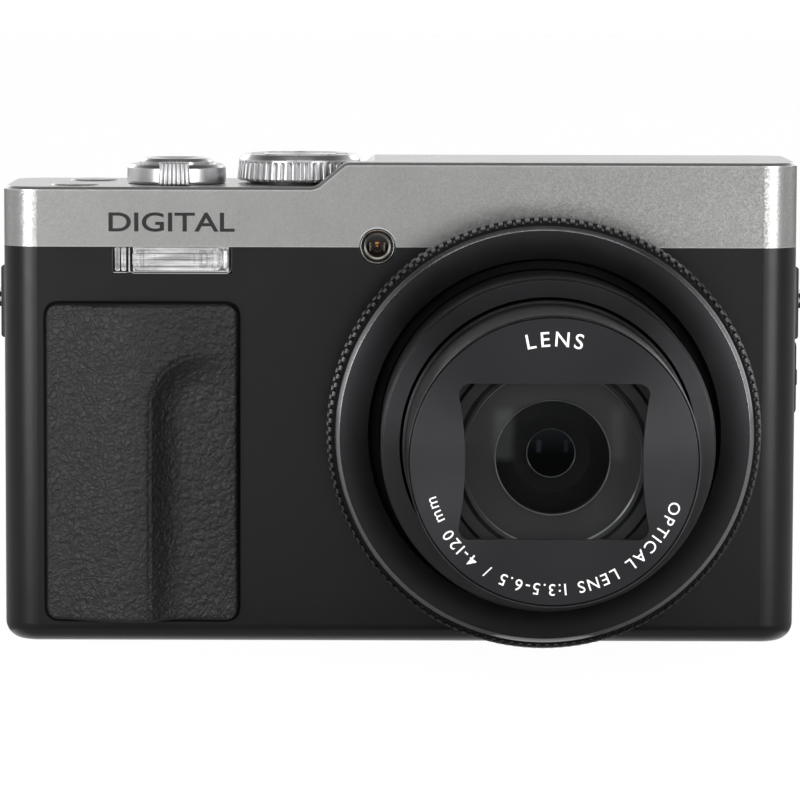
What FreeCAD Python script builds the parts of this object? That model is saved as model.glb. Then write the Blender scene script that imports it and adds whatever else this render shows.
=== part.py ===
import FreeCAD, Part

import math
import os

# Compact travel-zoom digital camera, in millimetres.
# +X is to the right seen from the front, +Y runs from the lens to the screen, +Z is up.
# The origin is the mouth of the tripod socket, on the base plane, at mid width.

V = FreeCAD.Vector
AXIS_X = V(1, 0, 0)
AXIS_Y = V(0, 1, 0)
AXIS_Z = V(0, 0, 1)

# ---- driving dimensions -------------------------------------------------------------------
WIDTH = 112.0
DEPTH = 27.0
FRONT = -DEPTH / 2
BACK = DEPTH / 2
HALF_W = WIDTH / 2
Z_SEAM = 56.1          # joint between the black shells and the silver top cover
Z_SHOULDER = 64.5      # top of the cover on the grip side
Z_HUMP = 68.0          # top of the raised viewfinder housing
R_FRONT = 5.0          # plan corner radius at the front
R_BACK = 4.0           # plan corner radius at the back
R_BASE = 2.6           # round along the bottom edge
WALL = 1.2
Y_SPLIT = 6.8          # front shell ends here, rear shell starts
GAP = 0.05             # face-to-face clearance between fitted pieces
TOP_CHAMFER = 0.4
Y_LIP = -8.6           # the slope's front part is a lip, behind it the slope moves over
SLOPE_FOOT = -11.9     # the slope up to the hump starts and ends at these X
SLOPE_HEAD = -7.7
SLOPE_SHIFT = 4.0

LENS_X = 20.0
LENS_Z = 30.8
R_KNURL = 30.25
R_BEZEL = 29.0
Y_BEZEL = -24.5        # front plane of the lens bezel
R_HOUSING = 22.9       # bore of the fixed tube
R_OUTER = 22.7         # three nested barrels
R_MIDDLE = 19.75
R_INNER = 19.27
Y_OUTER = -37.3        # their front ends with the lens extended at wide angle
Y_MIDDLE = -38.3
Y_INNER = -57.0
OUTER_LEN = 24.0
MIDDLE_LEN = 24.0
INNER_LEN = 27.3
RUNNING = 0.05         # radial clearance of every sliding or turning fit
R_GUIDE = 20.3         # bore of the outer barrel that the middle barrel's tail runs in
R_COLLAR = 28.9
R_COLLAR_BORE = 25.6
R_NOSE = 27.45         # nose of the collar that the control ring turns on
R_RING_BORE = 27.5
Y_RING = (-23.5, -19.4)
Y_NOSE = -23.6
RING_TEETH, RING_TOOTH = 150, 0.3
R_THROAT = 24.45       # bore of the bezel
R_BEZEL_FACE = (25.5, 28.2)
R_NAME_RING = 18.95
R_LINER = 18.5         # bore of the inner barrel behind the front ring
R_BLADE = 18.4
BLADE_EDGE = 10.45     # height of a parked barrier blade's edge above the lens axis
BLADE_THICK = 0.2
R_GLASS = 11.75        # front element
WINDOW_W = 25.0
WINDOW_H = 20.6

DIAL_X, DIAL_Y, R_DIAL, Z_DIAL = -14.35, -0.2, 8.95, 68.7
DIAL_TEETH = 48
DIAL_LIFT = 0.45       # gap under the dial, taken up by its base
R_DIAL_BORE = 2.95
SHUTTER_X, SHUTTER_Y, R_SHUTTER, Z_SHUTTER = -31.9, -2.0, 5.25, 68.15
R_SHUTTER_STEM = 2.0
R_ZOOM, R_ZOOM_BORE, Z_ZOOM = 7.05, 5.45, 67.3
ZOOM_TAB = (2.1, 8.4, 67.75)                # half width, reach forward, top
POWER_XY = (-46.0, -7.6)
RECORD_XY = (-44.2, 6.5)
R_TOP_BUTTON = 3.45
Z_TOP_BUTTON = 64.7

FLASH = (-40.4, -23.7, 52.35, 56.0)         # x0, x1, z0, z1
LAMP_X, LAMP_Z, R_LAMP = -3.2, 56.2, 2.5
GRIP = (-49.8, -22.8, 3.35, 48.1)
GRIP_EDGE = 0.8
GRIP_RIDGE = 4.2
RIDGE_X = -35.3

SCREEN = (-20.0, 52.0, 3.7, 52.3)
Y_SCREEN = (9.8, 14.3)
HINGE_Y, HINGE_Z = 14.5, 53.3
HINGE_X = (7.7, 28.3)                       # fixed knuckles fill the ends of this span
KNUCKLE_LEN, R_KNUCKLE, R_HINGE_BORE = 4.3, 1.3, 0.62
EYE_X, EYE_Z = 36.5, 61.2
EYE_TUBE = (8.5, 3.8)                       # half width and half height of the cup's neck
DIOPTER_X, DIOPTER_Y, R_DIOPTER = 50.5, 11.5, 2.9
Z_DIOPTER = (59.1, 62.8)
REAR_DIAL_X, REAR_DIAL_Z, R_REAR_DIAL = -38.0, 21.5, 9.5
Y_REAR_DIAL = (12.4, 14.3)
R_SET, R_SET_STEM = 4.55, 1.55
REAR_BUTTONS = {
    "fn_button": (-26.0, 49.0, 2.3),
    "play_button": (-26.0, 38.5, 2.3),
    "delete_button": (-28.5, 7.2, 2.1),
}
VIEW_BUTTON = (14.0, 20.0, 58.6, 61.6)      # viewfinder / screen switch beside the eyepiece
DOOR = (-51.0, -22.4, -9.8, 5.6)            # battery door: x0, x1, y0, y1
DOOR_THICK = 1.6
DOOR_AXIS_X, DOOR_AXIS_Z = -21.6, 1.0
R_DOOR_EDGE = 1.87                          # the door's hinge-side edge is hollowed round the axis
R_DOOR_KNUCKLE, R_DOOR_BORE, R_DOOR_PIN = 0.9, 0.5, 0.45
DOOR_WEB = (-8.0, 3.6)                      # y0, y1 of the arm between the door and its knuckle
LOCK = (-46.4, -43.5, -4.5, 0.3)            # sliding latch: x0, x1, y0, y1
LOCK_TRAVEL = 2.0
PORT = (-5.0, 5.0, 31.9, 42.2)              # port door: y0, y1, z0, z1
PORT_AXIS_X, PORT_AXIS_Y = 56.3, 5.3
LUG_PLATE = (-5.0, 5.0, 42.6, 52.9)
LUG_Z = 48.0
LUG_FEET = (-3.4, 3.4)
SOCKET_R, SOCKET_DEPTH = 2.6, 5.2
SOCKET_RELIEF = (2.9, 5.8)                  # radius and end of the undercut behind the thread
R_SOCKET_BODY = 4.5
SCREWS_XY = [(-16.0, -8.5), (8.0, -8.5), (50.5, -6.0), (50.5, 4.0), (-16.0, 4.0)]


# ---- small builders -----------------------------------------------------------------------
def box(x0, x1, y0, y1, z0, z1):
    return Part.makeBox(x1 - x0, y1 - y0, z1 - z0, V(x0, y0, z0))


def rod(radius, start, end):
    """A cylinder from start to end."""
    along = end.sub(start)
    return Part.makeCylinder(radius, along.Length, start, along)


def rod_x(radius, x0, x1, y, z):
    return rod(radius, V(x0, y, z), V(x1, y, z))


def rod_y(radius, y0, y1, x, z):
    return rod(radius, V(x, y0, z), V(x, y1, z))


def rod_z(radius, z0, z1, x, y):
    return rod(radius, V(x, y, z0), V(x, y, z1))


def tube_y(outer, inner, y0, y1, x, z):
    return rod_y(outer, y0, y1, x, z).cut(rod_y(inner, y0, y1, x, z))


def turned(profile, x=LENS_X, z=LENS_Z):
    """Revolves a closed (radius, y) outline about the line through x, z parallel to Y."""
    points = [V(x + r, y, z) for r, y in profile]
    face = Part.Face(Part.makePolygon(points + points[:1]))
    return face.revolve(V(x, 0, z), AXIS_Y, 360)


def turned_z(profile, x, y):
    """Revolves a closed (radius, z) outline about the vertical line through x, y."""
    points = [V(x + r, y, z) for r, z in profile]
    face = Part.Face(Part.makePolygon(points + points[:1]))
    return face.revolve(V(x, y, 0), AXIS_Z, 360)


def round_rect(x0, x1, z0, z1, radius, y0, y1):
    """A plate in the XZ plane with rounded corners, from y0 to y1."""
    plate = box(x0, x1, y0, y1, z0, z1)
    corners = [e for e in plate.Edges if abs(e.Vertexes[0].Y - e.Vertexes[-1].Y) > 1e-6]
    return plate.makeFillet(radius, corners)


def toothed(radius, depth, teeth, start, height, axis, side):
    """A prism with trapezoid teeth on its rim. axis is its direction, side a unit vector at angle 0."""
    across = axis.cross(side)
    pitch = 2 * math.pi / teeth
    points = []
    for i in range(teeth):
        for share, r in ((0.0, radius - depth), (0.3, radius - depth), (0.42, radius), (0.88, radius)):
            a = (i + share) * pitch
            points.append(start + side * (r * math.cos(a)) + across * (r * math.sin(a)))
    face = Part.Face(Part.makePolygon(points + points[:1]))
    return face.extrude(axis * height)


def plan_prism(inset, y0, y1, z0, z1):
    """The body's plan outline, pulled in by inset, as a prism, kept between y0 and y1."""
    block = box(-HALF_W + inset, HALF_W - inset, FRONT + inset, BACK - inset, z0, z1)
    upright = [e for e in block.Edges if abs(e.Vertexes[0].Z - e.Vertexes[-1].Z) > 1e-6]
    front = [e for e in upright if e.Vertexes[0].Y < 0]
    block = block.makeFillet(R_FRONT - inset, front)
    upright = [e for e in block.Edges if abs(e.Vertexes[0].Z - e.Vertexes[-1].Z) > z1 - z0 - 1e-6]
    rear = [e for e in upright if abs(e.Vertexes[0].Y - (BACK - inset)) < 1e-6]
    block = block.makeFillet(R_BACK - inset, rear)
    return block.common(box(-99, 99, y0, y1, z0 - 1, z1 + 1))


def shell_block(inset, y0, y1, z1):
    """The lower body as a solid block with its rounded base, pulled in by inset."""
    block = plan_prism(inset, -99, 99, inset, z1)
    base = [e for e in block.Edges if e.Vertexes[0].Z < inset + 1e-6 and e.Vertexes[-1].Z < inset + 1e-6]
    block = block.makeFillet(R_BASE - inset, base)
    return block.common(box(-99, 99, y0, y1, -1, 99))


def top_profile(drop, shift):
    """The top cover's front outline as a face: low shoulder, slope, raised housing.
    drop lowers it, shift moves the slope along X."""
    low = Z_SHOULDER - drop
    high = Z_HUMP - drop
    foot = V(SLOPE_FOOT + shift, 0, low)
    head = V(SLOPE_HEAD + shift, 0, high)
    corners = [V(-99, 0, low), foot, head, V(99, 0, high), V(99, 0, Z_SEAM - 20), V(-99, 0, Z_SEAM - 20)]
    return Part.Face(Part.makePolygon(corners + corners[:1]))


def top_block(inset, drop, y0, y1):
    """The volume under the top cover's skin. Behind the front lip the slope moves over to clear the dial."""
    outline = plan_prism(inset, -99, 99, Z_SEAM - 0.001, 80)
    front = top_profile(drop, 0).extrude(AXIS_Y * 99)
    front.translate(V(0, Y_LIP - 99, 0))
    rear = top_profile(drop, SLOPE_SHIFT).extrude(AXIS_Y * 99)
    rear.translate(V(0, Y_LIP, 0))
    whole = outline.common(front.fuse(rear).removeSplitter())
    return whole.common(box(-99, 99, y0, y1, Z_SEAM, 99))


# ---- casings ------------------------------------------------------------------------------
def front_cover():
    body = shell_block(0, FRONT, Y_SPLIT, Z_SEAM)
    body = body.cut(shell_block(WALL, FRONT + WALL, Y_SPLIT + 1, Z_SEAM + 1))
    x0, x1, y0, y1 = DOOR
    ears = [box(-22.9, -20.4, y, y + 2.0, 0.0, 2.2) for y in (y0 - 0.6, y1 - 1.6)]
    body = body.fuse(ears).removeSplitter()
    cuts = [
        rod_y(24.6, FRONT - 1, FRONT + WALL + 1, LENS_X, LENS_Z),
        rod_y(R_LAMP + GAP, FRONT - 1, FRONT + WALL + 1, LAMP_X, LAMP_Z),
        box(FLASH[0] - GAP, FLASH[1] + GAP, FRONT - 1, FRONT + WALL + 1, FLASH[2] - GAP, Z_SEAM + 1),
        box(x0 - 0.1, -23.1, y0 - 0.1, y1 + 0.1, -1, WALL + 0.1),
        box(-23.1, -20.6, DOOR_WEB[0] - 0.35, DOOR_WEB[1] + 0.35, -1, WALL + 0.1),
        rod_y(R_DOOR_BORE, y0 - 0.1, y1 + 0.3, DOOR_AXIS_X, DOOR_AXIS_Z),
        rod_z(R_SOCKET_BODY + 0.02, -1, WALL + 1, 0, 0),
        box(54.0, 56.5, PORT[0] + 0.6, PORT[1] - 0.6, PORT[2] + 0.6, PORT[3] - 0.6),
        box(55.5, 56.5, PORT[0] - 0.1, PORT[1] + 1.0, PORT[2] - 0.1, PORT[3] + 0.1),
    ]
    for side in (-1, 1):
        cuts.append(box(min(side * 55.5, side * 57), max(side * 55.5, side * 57),
                        LUG_PLATE[0] - GAP, LUG_PLATE[1] + GAP, LUG_PLATE[2] - GAP, LUG_PLATE[3] + GAP))
        for y in LUG_FEET:
            cuts.append(rod_x(0.62, min(side * 54, side * 57), max(side * 54, side * 57), y, LUG_Z))
    for x, y in SCREWS_XY:
        cuts.append(rod_z(0.9, -1, WALL + 1, x, y))
        cuts.append(rod_z(1.6, -1, 0.7, x, y))
    return body.cut(cuts)


def rear_cover():
    y0 = Y_SPLIT + GAP
    body = shell_block(0, y0, BACK, Z_SEAM)
    body = body.fuse(top_block(0, WALL + GAP, BACK - 2.0, BACK))
    cavity = shell_block(WALL, y0 - 1, BACK - 1.5, Z_SEAM + 1)
    x0, x1, z0, z1 = SCREEN
    bay = (x0 - 0.5, x1 + 0.5, z0 - 0.5, z1 + 0.7)
    keep = box(bay[0] - 1.0, bay[1] + 1.0, 8.6, BACK, bay[2] - 1.0, bay[3] + 1.0)
    keep = keep.fuse(rod_y(R_REAR_DIAL + 1.3, 10.6, BACK, REAR_DIAL_X, REAR_DIAL_Z))
    body = body.cut(cavity.cut(keep))
    cuts = [
        box(bay[0], bay[1], 9.6, BACK + 1, bay[2], bay[3]),
        rod_y(R_REAR_DIAL + 0.3, Y_REAR_DIAL[0] - 0.1, BACK + 1, REAR_DIAL_X, REAR_DIAL_Z),
        rod_y(R_SET_STEM + RUNNING, 9, BACK, REAR_DIAL_X, REAR_DIAL_Z),
        round_rect(EYE_X - EYE_TUBE[0] - 0.1, EYE_X + EYE_TUBE[0] + 0.1,
                   EYE_Z - EYE_TUBE[1] - 0.1, EYE_Z + EYE_TUBE[1] + 0.1, 1.0, 10, BACK + 1),
        box(DIOPTER_X - R_DIOPTER - 0.2, DIOPTER_X + R_DIOPTER + 0.2, 10, BACK + 1,
            Z_DIOPTER[0] - 0.2, Z_DIOPTER[1] + 0.15),
        round_rect(VIEW_BUTTON[0] - 0.1, VIEW_BUTTON[1] + 0.1, VIEW_BUTTON[2] - 0.1,
                   VIEW_BUTTON[3] + 0.1, 1.0, 10, BACK + 1),
        box(HINGE_X[0] - 0.1, HINGE_X[1] + 0.1, 12.0, BACK + 1, 53.0, 54.9),
    ]
    for x, z, r in REAR_BUTTONS.values():
        cuts.append(rod_y(r + RUNNING, 9, BACK + 1, x, z))
    body = body.cut(cuts)
    hub = tube_y(4.85, 4.6, 12.2, BACK, REAR_DIAL_X, REAR_DIAL_Z)
    axle = rod_z(0.6, 58.8, 62.99, DIOPTER_X, DIOPTER_Y)
    return body.fuse([hub, axle])


def top_cover():
    skin = top_block(0, 0, FRONT, BACK)
    lid = skin.cut(top_block(0, WALL, BACK - 2.0 - GAP, BACK + 1))
    edges = []
    for e in skin.Edges:
        box_e = e.BoundBox
        level = box_e.ZMin > Z_SHOULDER - 0.01
        outside = box_e.YMax < FRONT + R_FRONT + 0.01 or abs(box_e.XMin) > HALF_W - R_FRONT - 0.01
        if level and outside and box_e.DiagonalLength > 0.5:
            edges.append(e)
    lid = chamfered(lid, edges)
    lid = lid.cut(top_block(WALL, WALL, FRONT, BACK - 2.0 - WALL))
    lid = lid.cut(box(-99, 99, BACK - 2.0 - WALL - 1, BACK - 2.0 - GAP, Z_SEAM - 1, Z_SHOULDER - 1.5)
                  .common(plan_prism(WALL, -99, 99, Z_SEAM - 1, 90)))
    cuts = [
        rod_z(9.55, Z_SHOULDER, 80, DIAL_X, DIAL_Y),
        rod_z(R_DIAL_BORE, Z_SHOULDER - 3, Z_SHOULDER + 1, DIAL_X, DIAL_Y),
        rod_z(R_SHUTTER_STEM + RUNNING, Z_SHOULDER - 3, Z_SHOULDER + 1, SHUTTER_X, SHUTTER_Y),
        rod_y(R_LAMP + GAP, FRONT - 1, FRONT + WALL + 1, LAMP_X, LAMP_Z),
    ]
    for x, y in (POWER_XY, RECORD_XY):
        cuts.append(rod_z(R_TOP_BUTTON + 0.1, Z_SHOULDER - 3, Z_SHOULDER + 1, x, y))
    for x in (2.0, 34.0):
        for i in range(3):
            cuts.append(rod_z(0.45, Z_HUMP - 2, Z_HUMP + 1, x + 1.8 * i, 4.0))
    boss = rod_z(5.4, Z_SHOULDER - 0.2, Z_SHOULDER + 0.5, SHUTTER_X, SHUTTER_Y)
    return lid.fuse(boss).removeSplitter().cut(cuts)


def chamfered(shape, wanted):
    """Chamfers those edges of shape that lie where the wanted edges do."""
    found = []
    for w in wanted:
        mid = w.valueAt((w.FirstParameter + w.LastParameter) / 2)
        for e in shape.Edges:
            near = e.distToShape(Part.Vertex(mid))[0] < 1e-5
            if near and abs(e.Length - w.Length) < 1e-3:
                found.append(e)
    return shape.makeChamfer(TOP_CHAMFER, found)


def front_grip():
    """Moulded rubber grip: a thin pad with a finger ridge and a scooped valley beside it."""
    x0, x1, z0, z1 = GRIP
    pad = round_rect(x0, x1, z0, z1, 1.4, FRONT - GRIP_RIDGE, FRONT)
    base = FRONT - GRIP_EDGE
    ridge = FRONT - GRIP_RIDGE
    start = V(x0, base, 0)
    crest = V(RIDGE_X - 1.0, ridge, 0)
    right = V(x1, FRONT - 1.9, 0)
    rise = Part.BSplineCurve()
    rise.interpolate([start, V(x0 + 5, base - 1.3, 0), V(x0 + 9.5, ridge + 0.35, 0), crest])
    fall = Part.BSplineCurve()
    fall.interpolate([crest, V(RIDGE_X + 3.5, ridge + 0.55, 0), V(RIDGE_X + 8, ridge + 1.8, 0), right])
    wire = Part.Wire([rise.toShape(), fall.toShape(), Part.makeLine(right, V(x1, FRONT, 0)),
                      Part.makeLine(V(x1, FRONT, 0), V(x0, FRONT, 0)),
                      Part.makeLine(V(x0, FRONT, 0), start)])
    full = Part.Face(wire).extrude(AXIS_Z * 60)
    pad = pad.common(full)
    scoop = box(RIDGE_X, x1 + 1, FRONT - 9, FRONT - 1.0, z0 - 1, 41.2)
    corner = [e for e in scoop.Edges
              if abs(e.Vertexes[0].X - RIDGE_X) < 1e-6 and abs(e.Vertexes[-1].X - RIDGE_X) < 1e-6
              and e.Vertexes[0].Z > 41 and e.Vertexes[-1].Z > 41]
    return pad.cut(scoop.makeFillet(7.5, corner))


def thumb_rest():
    pad = round_rect(-54.0, -40.5, 33.5, 47.5, 2.5, BACK, BACK + 1.3)
    edge = [e for e in pad.Edges if e.Vertexes[0].Y > BACK + 1.2 and e.Vertexes[-1].Y > BACK + 1.2]
    return pad.makeFillet(0.8, edge).cut(plan_prism(0, -99, 99, 0, 60))


# ---- flash and lamp -----------------------------------------------------------------------
def flash_window():
    x0, x1, z0, z1 = FLASH
    plate = round_rect(x0, x1, z0, z1, 0.5, FRONT - 0.1, FRONT + WALL)
    divider = box(-38.2, -37.8, FRONT - 0.2, FRONT + 0.3, z0 - 1, z1 + 1)
    ribs = [box(x, x + 0.25, FRONT - 0.2, FRONT + 0.05, z0 - 1, z1 + 1) for x in (-39.9, -39.3, -38.7)]
    return plate.cut([divider] + ribs)


def flash_reflector():
    x0, x1 = FLASH[0] + 2.8, FLASH[1] - 0.4
    outer = box(x0, x1, FRONT + WALL + GAP, FRONT + 6.0, FLASH[2] + 0.1, Z_SEAM - 0.1)
    bowl = rod_x(1.55, x0 + 0.3, x1 - 0.3, FRONT + 4.2, 54.2)
    throat = box(x0 + 0.3, x1 - 0.3, FRONT, FRONT + 4.2, 52.65, 55.75)
    return outer.cut([bowl, throat])


def flash_tube():
    return rod_x(0.75, FLASH[0] + 3.4, FLASH[1] - 1.0, FRONT + 4.2, 54.2)


def af_lamp_bezel():
    return turned([(1.95, FRONT - 0.15), (2.3, FRONT - 0.15), (R_LAMP, FRONT + 0.05), (R_LAMP, FRONT + WALL),
                   (1.95, FRONT + WALL)], LAMP_X, LAMP_Z)


def af_lamp_lens():
    dome = Part.makeSphere(3.2, V(LAMP_X, FRONT + 3.1, LAMP_Z))
    return dome.common(rod_y(1.9, FRONT - 1, FRONT + 2.0, LAMP_X, LAMP_Z))


# ---- top controls -------------------------------------------------------------------------
def mode_dial():
    start = V(DIAL_X, DIAL_Y, Z_SHOULDER + DIAL_LIFT)
    height = Z_DIAL - Z_SHOULDER - DIAL_LIFT
    dial = toothed(R_DIAL, 0.35, DIAL_TEETH, start, height, AXIS_Z, AXIS_X)
    cap = turned_z([(0, 0), (R_DIAL + 1, 0), (R_DIAL + 1, Z_DIAL - 0.9), (R_DIAL - 0.8, Z_DIAL), (0, Z_DIAL)],
                   DIAL_X, DIAL_Y)
    return dial.common(cap).cut(rod_z(R_DIAL_BORE, 60, Z_DIAL - 1.2, DIAL_X, DIAL_Y))


def mode_dial_base():
    plate = rod_z(7.6, Z_SHOULDER, Z_SHOULDER + DIAL_LIFT - GAP, DIAL_X, DIAL_Y)
    spindle = rod_z(R_DIAL_BORE - RUNNING, 60.5, Z_DIAL - 1.4, DIAL_X, DIAL_Y)
    return plate.fuse(spindle).removeSplitter()


def zoom_lever():
    """Ring round the shutter button with a ribbed tab at its front."""
    z0 = Z_SHOULDER + 0.1
    half, reach, top = ZOOM_TAB
    ring = turned_z([(R_ZOOM_BORE, z0), (R_ZOOM - 0.15, z0), (R_ZOOM, z0 + 0.3), (R_ZOOM, Z_ZOOM - 0.4),
                     (R_ZOOM - 0.4, Z_ZOOM), (R_ZOOM_BORE, Z_ZOOM)], SHUTTER_X, SHUTTER_Y)
    tip = SHUTTER_Y - reach
    tab = box(SHUTTER_X - half, SHUTTER_X + half, tip, SHUTTER_Y - 5.6, z0, top)
    front = [e for e in tab.Edges if e.Vertexes[0].Y < tip + 0.1 and e.Vertexes[-1].Y < tip + 0.1
             and e.Vertexes[0].Z > Z_ZOOM and e.Vertexes[-1].Z > Z_ZOOM]
    tab = tab.makeChamfer(0.4, front)
    grooves = [box(SHUTTER_X + 0.7 * i - 0.15, SHUTTER_X + 0.7 * i + 0.15, tip - 1, tip + 0.3, 60, 70)
               for i in range(-2, 3)]
    return ring.fuse(tab.cut(grooves)).removeSplitter()


def shutter_button():
    """Dished cap on a stem."""
    z = Z_SHUTTER
    stem = R_SHUTTER_STEM
    return turned_z([(0, 61.6), (stem, 61.6), (stem, z - 2.1), (R_SHUTTER, z - 2.1), (R_SHUTTER, z - 0.5),
                     (R_SHUTTER - 0.35, z - 0.15), (R_SHUTTER - 1.3, z), (1.6, z - 0.25), (0, z - 0.32)],
                    SHUTTER_X, SHUTTER_Y)


def top_button(x, y):
    """A low cap with a flange that rests under the cover's skin."""
    z = Z_TOP_BUTTON
    r = R_TOP_BUTTON
    under = Z_SHOULDER - WALL - GAP
    return turned_z([(0, under - 0.8), (r + 0.3, under - 0.8), (r + 0.3, under), (r, under), (r, z - 0.2),
                     (r - 0.25, z), (1.4, z - 0.1), (0, z - 0.2)], x, y)


# ---- lens ---------------------------------------------------------------------------------
def lens_collar():
    """Fixed collar on the front shell. The control ring turns on its reduced nose."""
    shoulder = Y_RING[1] + 0.1
    return turned([(R_COLLAR_BORE, FRONT), (R_COLLAR, FRONT), (R_COLLAR, shoulder + 0.4),
                   (R_COLLAR - 0.3, shoulder), (R_NOSE, shoulder), (R_NOSE, Y_NOSE), (R_COLLAR_BORE, Y_NOSE)])


def control_ring():
    front, back = Y_RING
    start = V(LENS_X, back, LENS_Z)
    ring = toothed(R_KNURL, RING_TOOTH, RING_TEETH, start, back - front, AXIS_Y * -1, AXIS_X)
    return ring.cut(rod_y(R_RING_BORE, front - 0.5, back + 0.4, LENS_X, LENS_Z))


def lens_front_bezel():
    """Front flange that keeps the control ring on, and a stepped throat inside the collar."""
    inner, outer = R_BEZEL_FACE
    back = Y_NOSE - GAP
    tail = Y_BEZEL + 2.5
    return turned([(R_THROAT, Y_BEZEL + 0.4), (inner, Y_BEZEL + 0.4), (inner, Y_BEZEL), (outer, Y_BEZEL),
                   (R_BEZEL, Y_BEZEL + 0.6), (R_BEZEL, back), (inner, back), (inner, tail), (R_THROAT, tail)])


def lens_housing():
    """Fixed tube the barrels slide in, with a front flange and a rear wall that carries the sensor."""
    bore = R_HOUSING
    tube = turned([(bore, -21.5), (24.0, -21.5), (24.0, -20.0), (25.5, -20.0), (25.5, -19.0), (24.0, -19.0),
                   (24.0, 4.0), (0.0, 4.0), (0.0, 3.0), (bore, 3.0)])
    return tube.cut(box(LENS_X - 5, LENS_X + 5, 2, 5, LENS_Z - 4, LENS_Z + 4))


def outer_barrel():
    y = Y_OUTER
    tail = y + OUTER_LEN
    guide = R_HOUSING - RUNNING
    lip = R_GUIDE - 0.15
    return turned([(lip, y), (R_OUTER - 0.35, y), (R_OUTER, y + 0.35), (R_OUTER, tail - 2),
                   (guide, tail - 2), (guide, tail), (R_GUIDE, tail), (R_GUIDE, y + 1.2), (lip, y + 1.2)])


def middle_barrel():
    y = Y_MIDDLE
    tail = y + MIDDLE_LEN
    bore = R_INNER + RUNNING
    guide = R_GUIDE - RUNNING
    return turned([(bore, y), (R_MIDDLE - 0.12, y), (R_MIDDLE, y + 0.12), (R_MIDDLE, tail - 2),
                   (guide, tail - 2), (guide, tail), (bore, tail)])


def inner_barrel():
    y = Y_INNER
    tail = y + INNER_LEN
    seat = R_NAME_RING + 0.07
    return turned([(seat, y + 0.1), (seat + 0.06, y), (R_INNER, y + 0.45), (R_INNER, tail), (R_LINER, tail),
                   (R_LINER, y + 1.65), (seat, y + 1.65)])


def window_prism(y0, y1):
    """The front ring's opening: a rectangle whose upright sides bow inwards."""
    hx, hz, waist, r = WINDOW_W / 2, WINDOW_H / 2, 0.85, 1.5
    block = round_rect(LENS_X - hx, LENS_X + hx, LENS_Z - hz, LENS_Z + hz, r, y0, y1)
    half = hz - r
    bow = (half * half + waist * waist) / (2 * waist)
    for side in (-1, 1):
        centre = LENS_X + side * (hx + bow - waist)
        block = block.cut(rod_y(bow, y0 - 1, y1 + 1, centre, LENS_Z))
    return block


def lens_front_ring():
    y = Y_INNER
    disc = turned([(0, y), (R_NAME_RING - 0.12, y), (R_NAME_RING, y + 0.12), (R_NAME_RING, y + 1.6),
                   (0, y + 1.6)])
    return disc.cut(window_prism(y - 1, y + 2))


def barrier_blade(sign, y):
    """One leaf of the lens barrier, parked above (+1) or below (-1) the window."""
    disc = rod_y(R_BLADE, y, y + BLADE_THICK, LENS_X, LENS_Z)
    if sign > 0:
        return disc.common(box(-20, 60, y - 1, y + 1, LENS_Z + BLADE_EDGE, 90))
    return disc.common(box(-20, 60, y - 1, y + 1, -30, LENS_Z - BLADE_EDGE))


def front_lens():
    """Front element: a shallow dome on a flat back."""
    radius = 60.0
    apex = Y_INNER + 2.5
    dome = Part.makeSphere(radius, V(LENS_X, apex + radius, LENS_Z))
    return dome.common(rod_y(R_GLASS, apex - 1, apex + 3.2, LENS_X, LENS_Z))


def lens_cell():
    """Holds the front element and closes the barrel round it."""
    y = Y_INNER + 4.3
    rim = R_LINER - 0.05
    return turned([(11.8, y), (12.2, y - 0.6), (12.8, y), (14.2, y), (14.6, y + 0.5), (rim, y + 0.5),
                   (rim, y + 1.6), (13.0, y + 1.6), (13.0, y + 3.4), (7.65, y + 3.4), (7.65, y + 1.5),
                   (11.8, y + 1.5)])


def iris_unit():
    """Second lens group's mount with the aperture in its middle."""
    y = Y_INNER + 11.0
    rim = R_LINER - 0.1
    return turned([(3.3, y), (5.2, y - 0.8), (8.5, y - 0.8), (9.0, y), (rim, y), (rim, y + 2.5),
                   (5.3, y + 2.5), (5.3, y + 0.6), (3.3, y + 0.6)])


def second_lens():
    y = Y_INNER + 11.7
    ball = Part.makeSphere(14.0, V(LENS_X, y + 14.0, LENS_Z))
    return ball.common(rod_y(5.25, y - 1, y + 1.8, LENS_X, LENS_Z))


# ---- inside -------------------------------------------------------------------------------
def image_sensor():
    return box(LENS_X - 4.8, LENS_X + 4.8, 3.1, 3.95, LENS_Z - 3.8, LENS_Z + 3.8)


def chassis():
    plate = box(-18.5, 53.5, 5.0, 5.8, 2.6, 54.5)
    foot = box(-10.0, 10.0, -6.0, 5.0, 6.6, 7.6)
    rib = box(-18.5, -17.5, -11.0, 5.0, 12.0, 50.0)
    holes = [rod_y(4.0, 4, 7, x, z) for x, z in ((-10, 45), (45, 10), (45, 48))]
    return plate.fuse([foot, rib]).removeSplitter().cut(holes)


def main_board():
    board = box(-18.0, 50.0, 6.2, 7.2, 5.0, 52.0)
    chips = [box(-8, 6, 7.2, 8.1, 18, 32), box(12, 24, 7.2, 8.1, 34, 44), box(30, 42, 7.2, 8.1, 14, 26)]
    return board.fuse(chips).removeSplitter()


def zoom_motor():
    return rod_y(3.2, -10.0, 3.0, -10.0, 24.0).fuse(rod_y(1.0, -12.0, -10.0, -10.0, 24.0)).removeSplitter()


def battery_box():
    x0, x1, z0, z1 = -53.0, -24.4, 2.9, 45.0
    outer = box(x0, x1, -11.6, 5.0, z0, z1)
    battery_bay = box(x0 + 0.6, x1 - 0.6, -11.0, -1.6, z0 - 1, z1 - 0.6)
    card_bay = box(x0 + 0.6, x1 - 0.6, -1.0, 4.4, z0 - 1, z1 - 0.6)
    return outer.cut([battery_bay, card_bay])


def battery():
    return round_rect(-52.1, -25.3, 3.1, 43.8, 1.0, -10.6, -2.0)


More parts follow.
